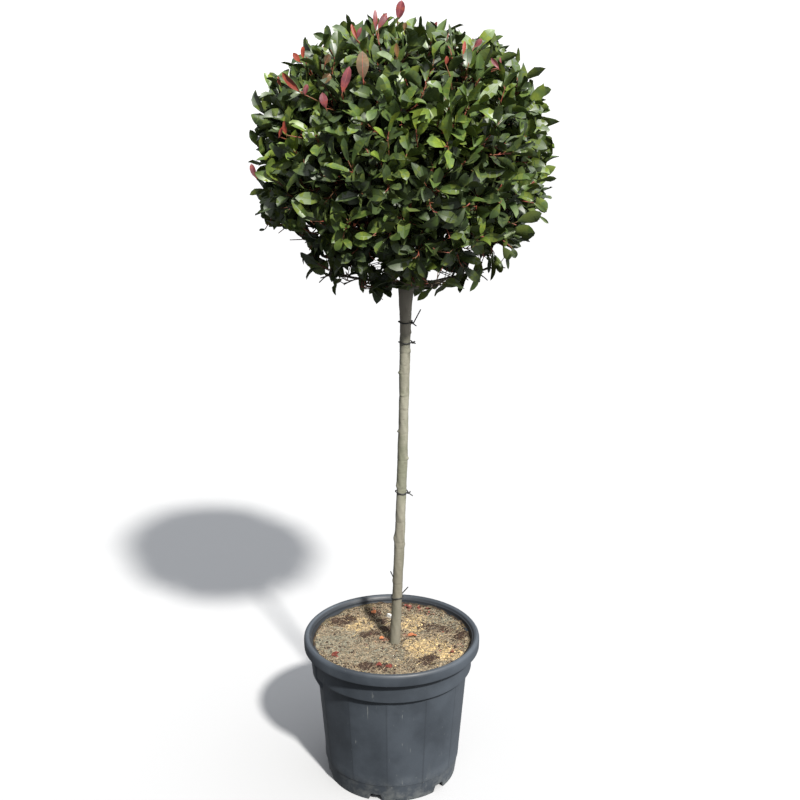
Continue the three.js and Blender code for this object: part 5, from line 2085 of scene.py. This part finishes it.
@dataclass
class Studio:
    """A pale sweep of floor, a pale sky, one soft lamp and the camera at the photograph's angle.

    Attributes:
        floor_near: Radii of the floor's rings in front of its bend.
        floor_bend, floor_far: Radii at which it starts to rise and ends.
        sky_turn, sky_rise: Turn and rise of the place where the sky is brightest.
        lamp_spread: How wide the lamp looks, as an angle.
    """

    floor_near: tuple[float, ...] = (0.6, 3.0, 7.0)
    floor_bend: float = 12.0
    floor_far: float = 36.0
    floor_rise: float = 20.0
    floor_colour: Colour = (0.36, 0.365, 0.375)
    sky_dim: Colour = (0.22, 0.225, 0.232)
    sky_bright: Colour = (1.54, 1.57, 1.62)
    sky_turn: float = np.radians(78)
    sky_rise: float = np.radians(56)
    lamp_turn: float = np.radians(26)
    lamp_rise: float = np.radians(45)
    lamp_spread: float = np.radians(4)
    lamp_power: float = 8.4
    lamp_colour: Colour = (1.0, 0.97, 0.92)
    camera_tilt: float = np.radians(90 - 16.37)
    lens: float = 52.77

    def floor(self) -> None:
        """Lays the floor: a disc that rises towards its rim by the square of the way past its bend.

        It neither throws light back nor keeps any off, as dark open ground would.
        """
        reach = np.concatenate([self.floor_near, np.linspace(self.floor_bend, self.floor_far, 14)])[::-1]
        past = np.clip((reach - self.floor_bend) / (self.floor_far - self.floor_bend), 0, 1)
        turn = full_turn(64)[0]
        disc = round_points(turn, reach[:, None], self.floor_rise * past[:, None] ** 2)
        points = np.concatenate([disc.reshape(-1, 3), np.zeros((1, 3))])
        quads = grid_faces(len(reach), len(turn))
        inner = len(points) - 1 - len(turn) + np.arange(len(turn))
        fan = np.stack([inner, np.roll(inner, -1), np.full(len(turn), len(points) - 1)], axis=-1)
        mesh = bpy.data.meshes.new("floor")
        mesh.from_pydata(points.tolist(), [], quads.tolist() + fan.tolist())
        mesh.shade_smooth()
        paint = Shader("floor").finish(Base_Color=self.floor_colour, Roughness=1, Specular_IOR_Level=0)
        mesh.materials.append(paint)
        floor = linked("floor", mesh)
        floor.visible_diffuse = floor.visible_glossy = floor.visible_shadow = False

    def light(self) -> None:
        """Sets the sky, which brightens smoothly towards one place, and the lamp."""
        sky = Shader("sky", sky=True)
        directions = {0: sky.node("ShaderNodeTexCoord"), 1: heading(self.sky_turn, self.sky_rise)}
        near = sky.node("ShaderNodeVectorMath", {"operation": "DOT_PRODUCT"}, directions, output=1)
        stops = {"stops": [(0, self.sky_dim), (1, self.sky_bright)]}
        glow = sky.node("ShaderNodeValToRGB", stops, {0: near.between(0, 1)})
        bpy.context.scene.world = sky.finish(Color=glow)
        lamp = bpy.data.lights.new("lamp", "SUN")
        lamp.angle = self.lamp_spread
        lamp.energy = self.lamp_power
        lamp.color = self.lamp_colour
        stand = linked("lamp", lamp)
        stand.location = heading(self.lamp_turn, self.lamp_rise) * 4
        stand.rotation_euler = (np.pi / 2 - self.lamp_rise, 0, self.lamp_turn)

    def shoot(self) -> None:
        """Sets the camera and the plain view of light."""
        lens = bpy.data.cameras.new("camera")
        lens.lens = self.lens
        camera = linked("camera", lens)
        camera.location = CAMERA_PLACE
        camera.rotation_euler = (self.camera_tilt, 0, 0)
        bpy.context.scene.camera = camera
        bpy.context.scene.view_settings.view_transform = "Standard"

    def build(self) -> None:
        """Builds the studio."""
        self.floor()
        self.light()
        self.shoot()


# Each tie's height, the turn of its knot, and the turn, rise and length of its upper and of its lower end
TIES: tuple[tuple[float, float, Place, Place], ...] = (
    (1.068, 0.9, (1.4, 1.1, 0.033), (1.0, -0.5, 0.010)),
    (1.024, 1.3, (1.8, 1.1, 0.003), (1.4, -0.5, 0.004)),
    (0.685, 1.1, (1.6, 1.1, 0.004), (1.2, -0.5, 0.010)),
    (0.432, 2.6, (4.35, 1.1, 0.056), (1.4, 0.9, 0.022)),
)


def main() -> None:
    stem = Stem()
    Pot().build()
    Soil().build()
    stem.build()
    finish = TiePlastic().material()
    for number, row in enumerate(TIES):
        Tie(*row, number).build(stem, finish)
    Canopy().build(stem)
    Studio().build()


if __name__ == "__main__":
    logging.basicConfig(level=logging.INFO, format="%(name)s %(message)s")
    main()
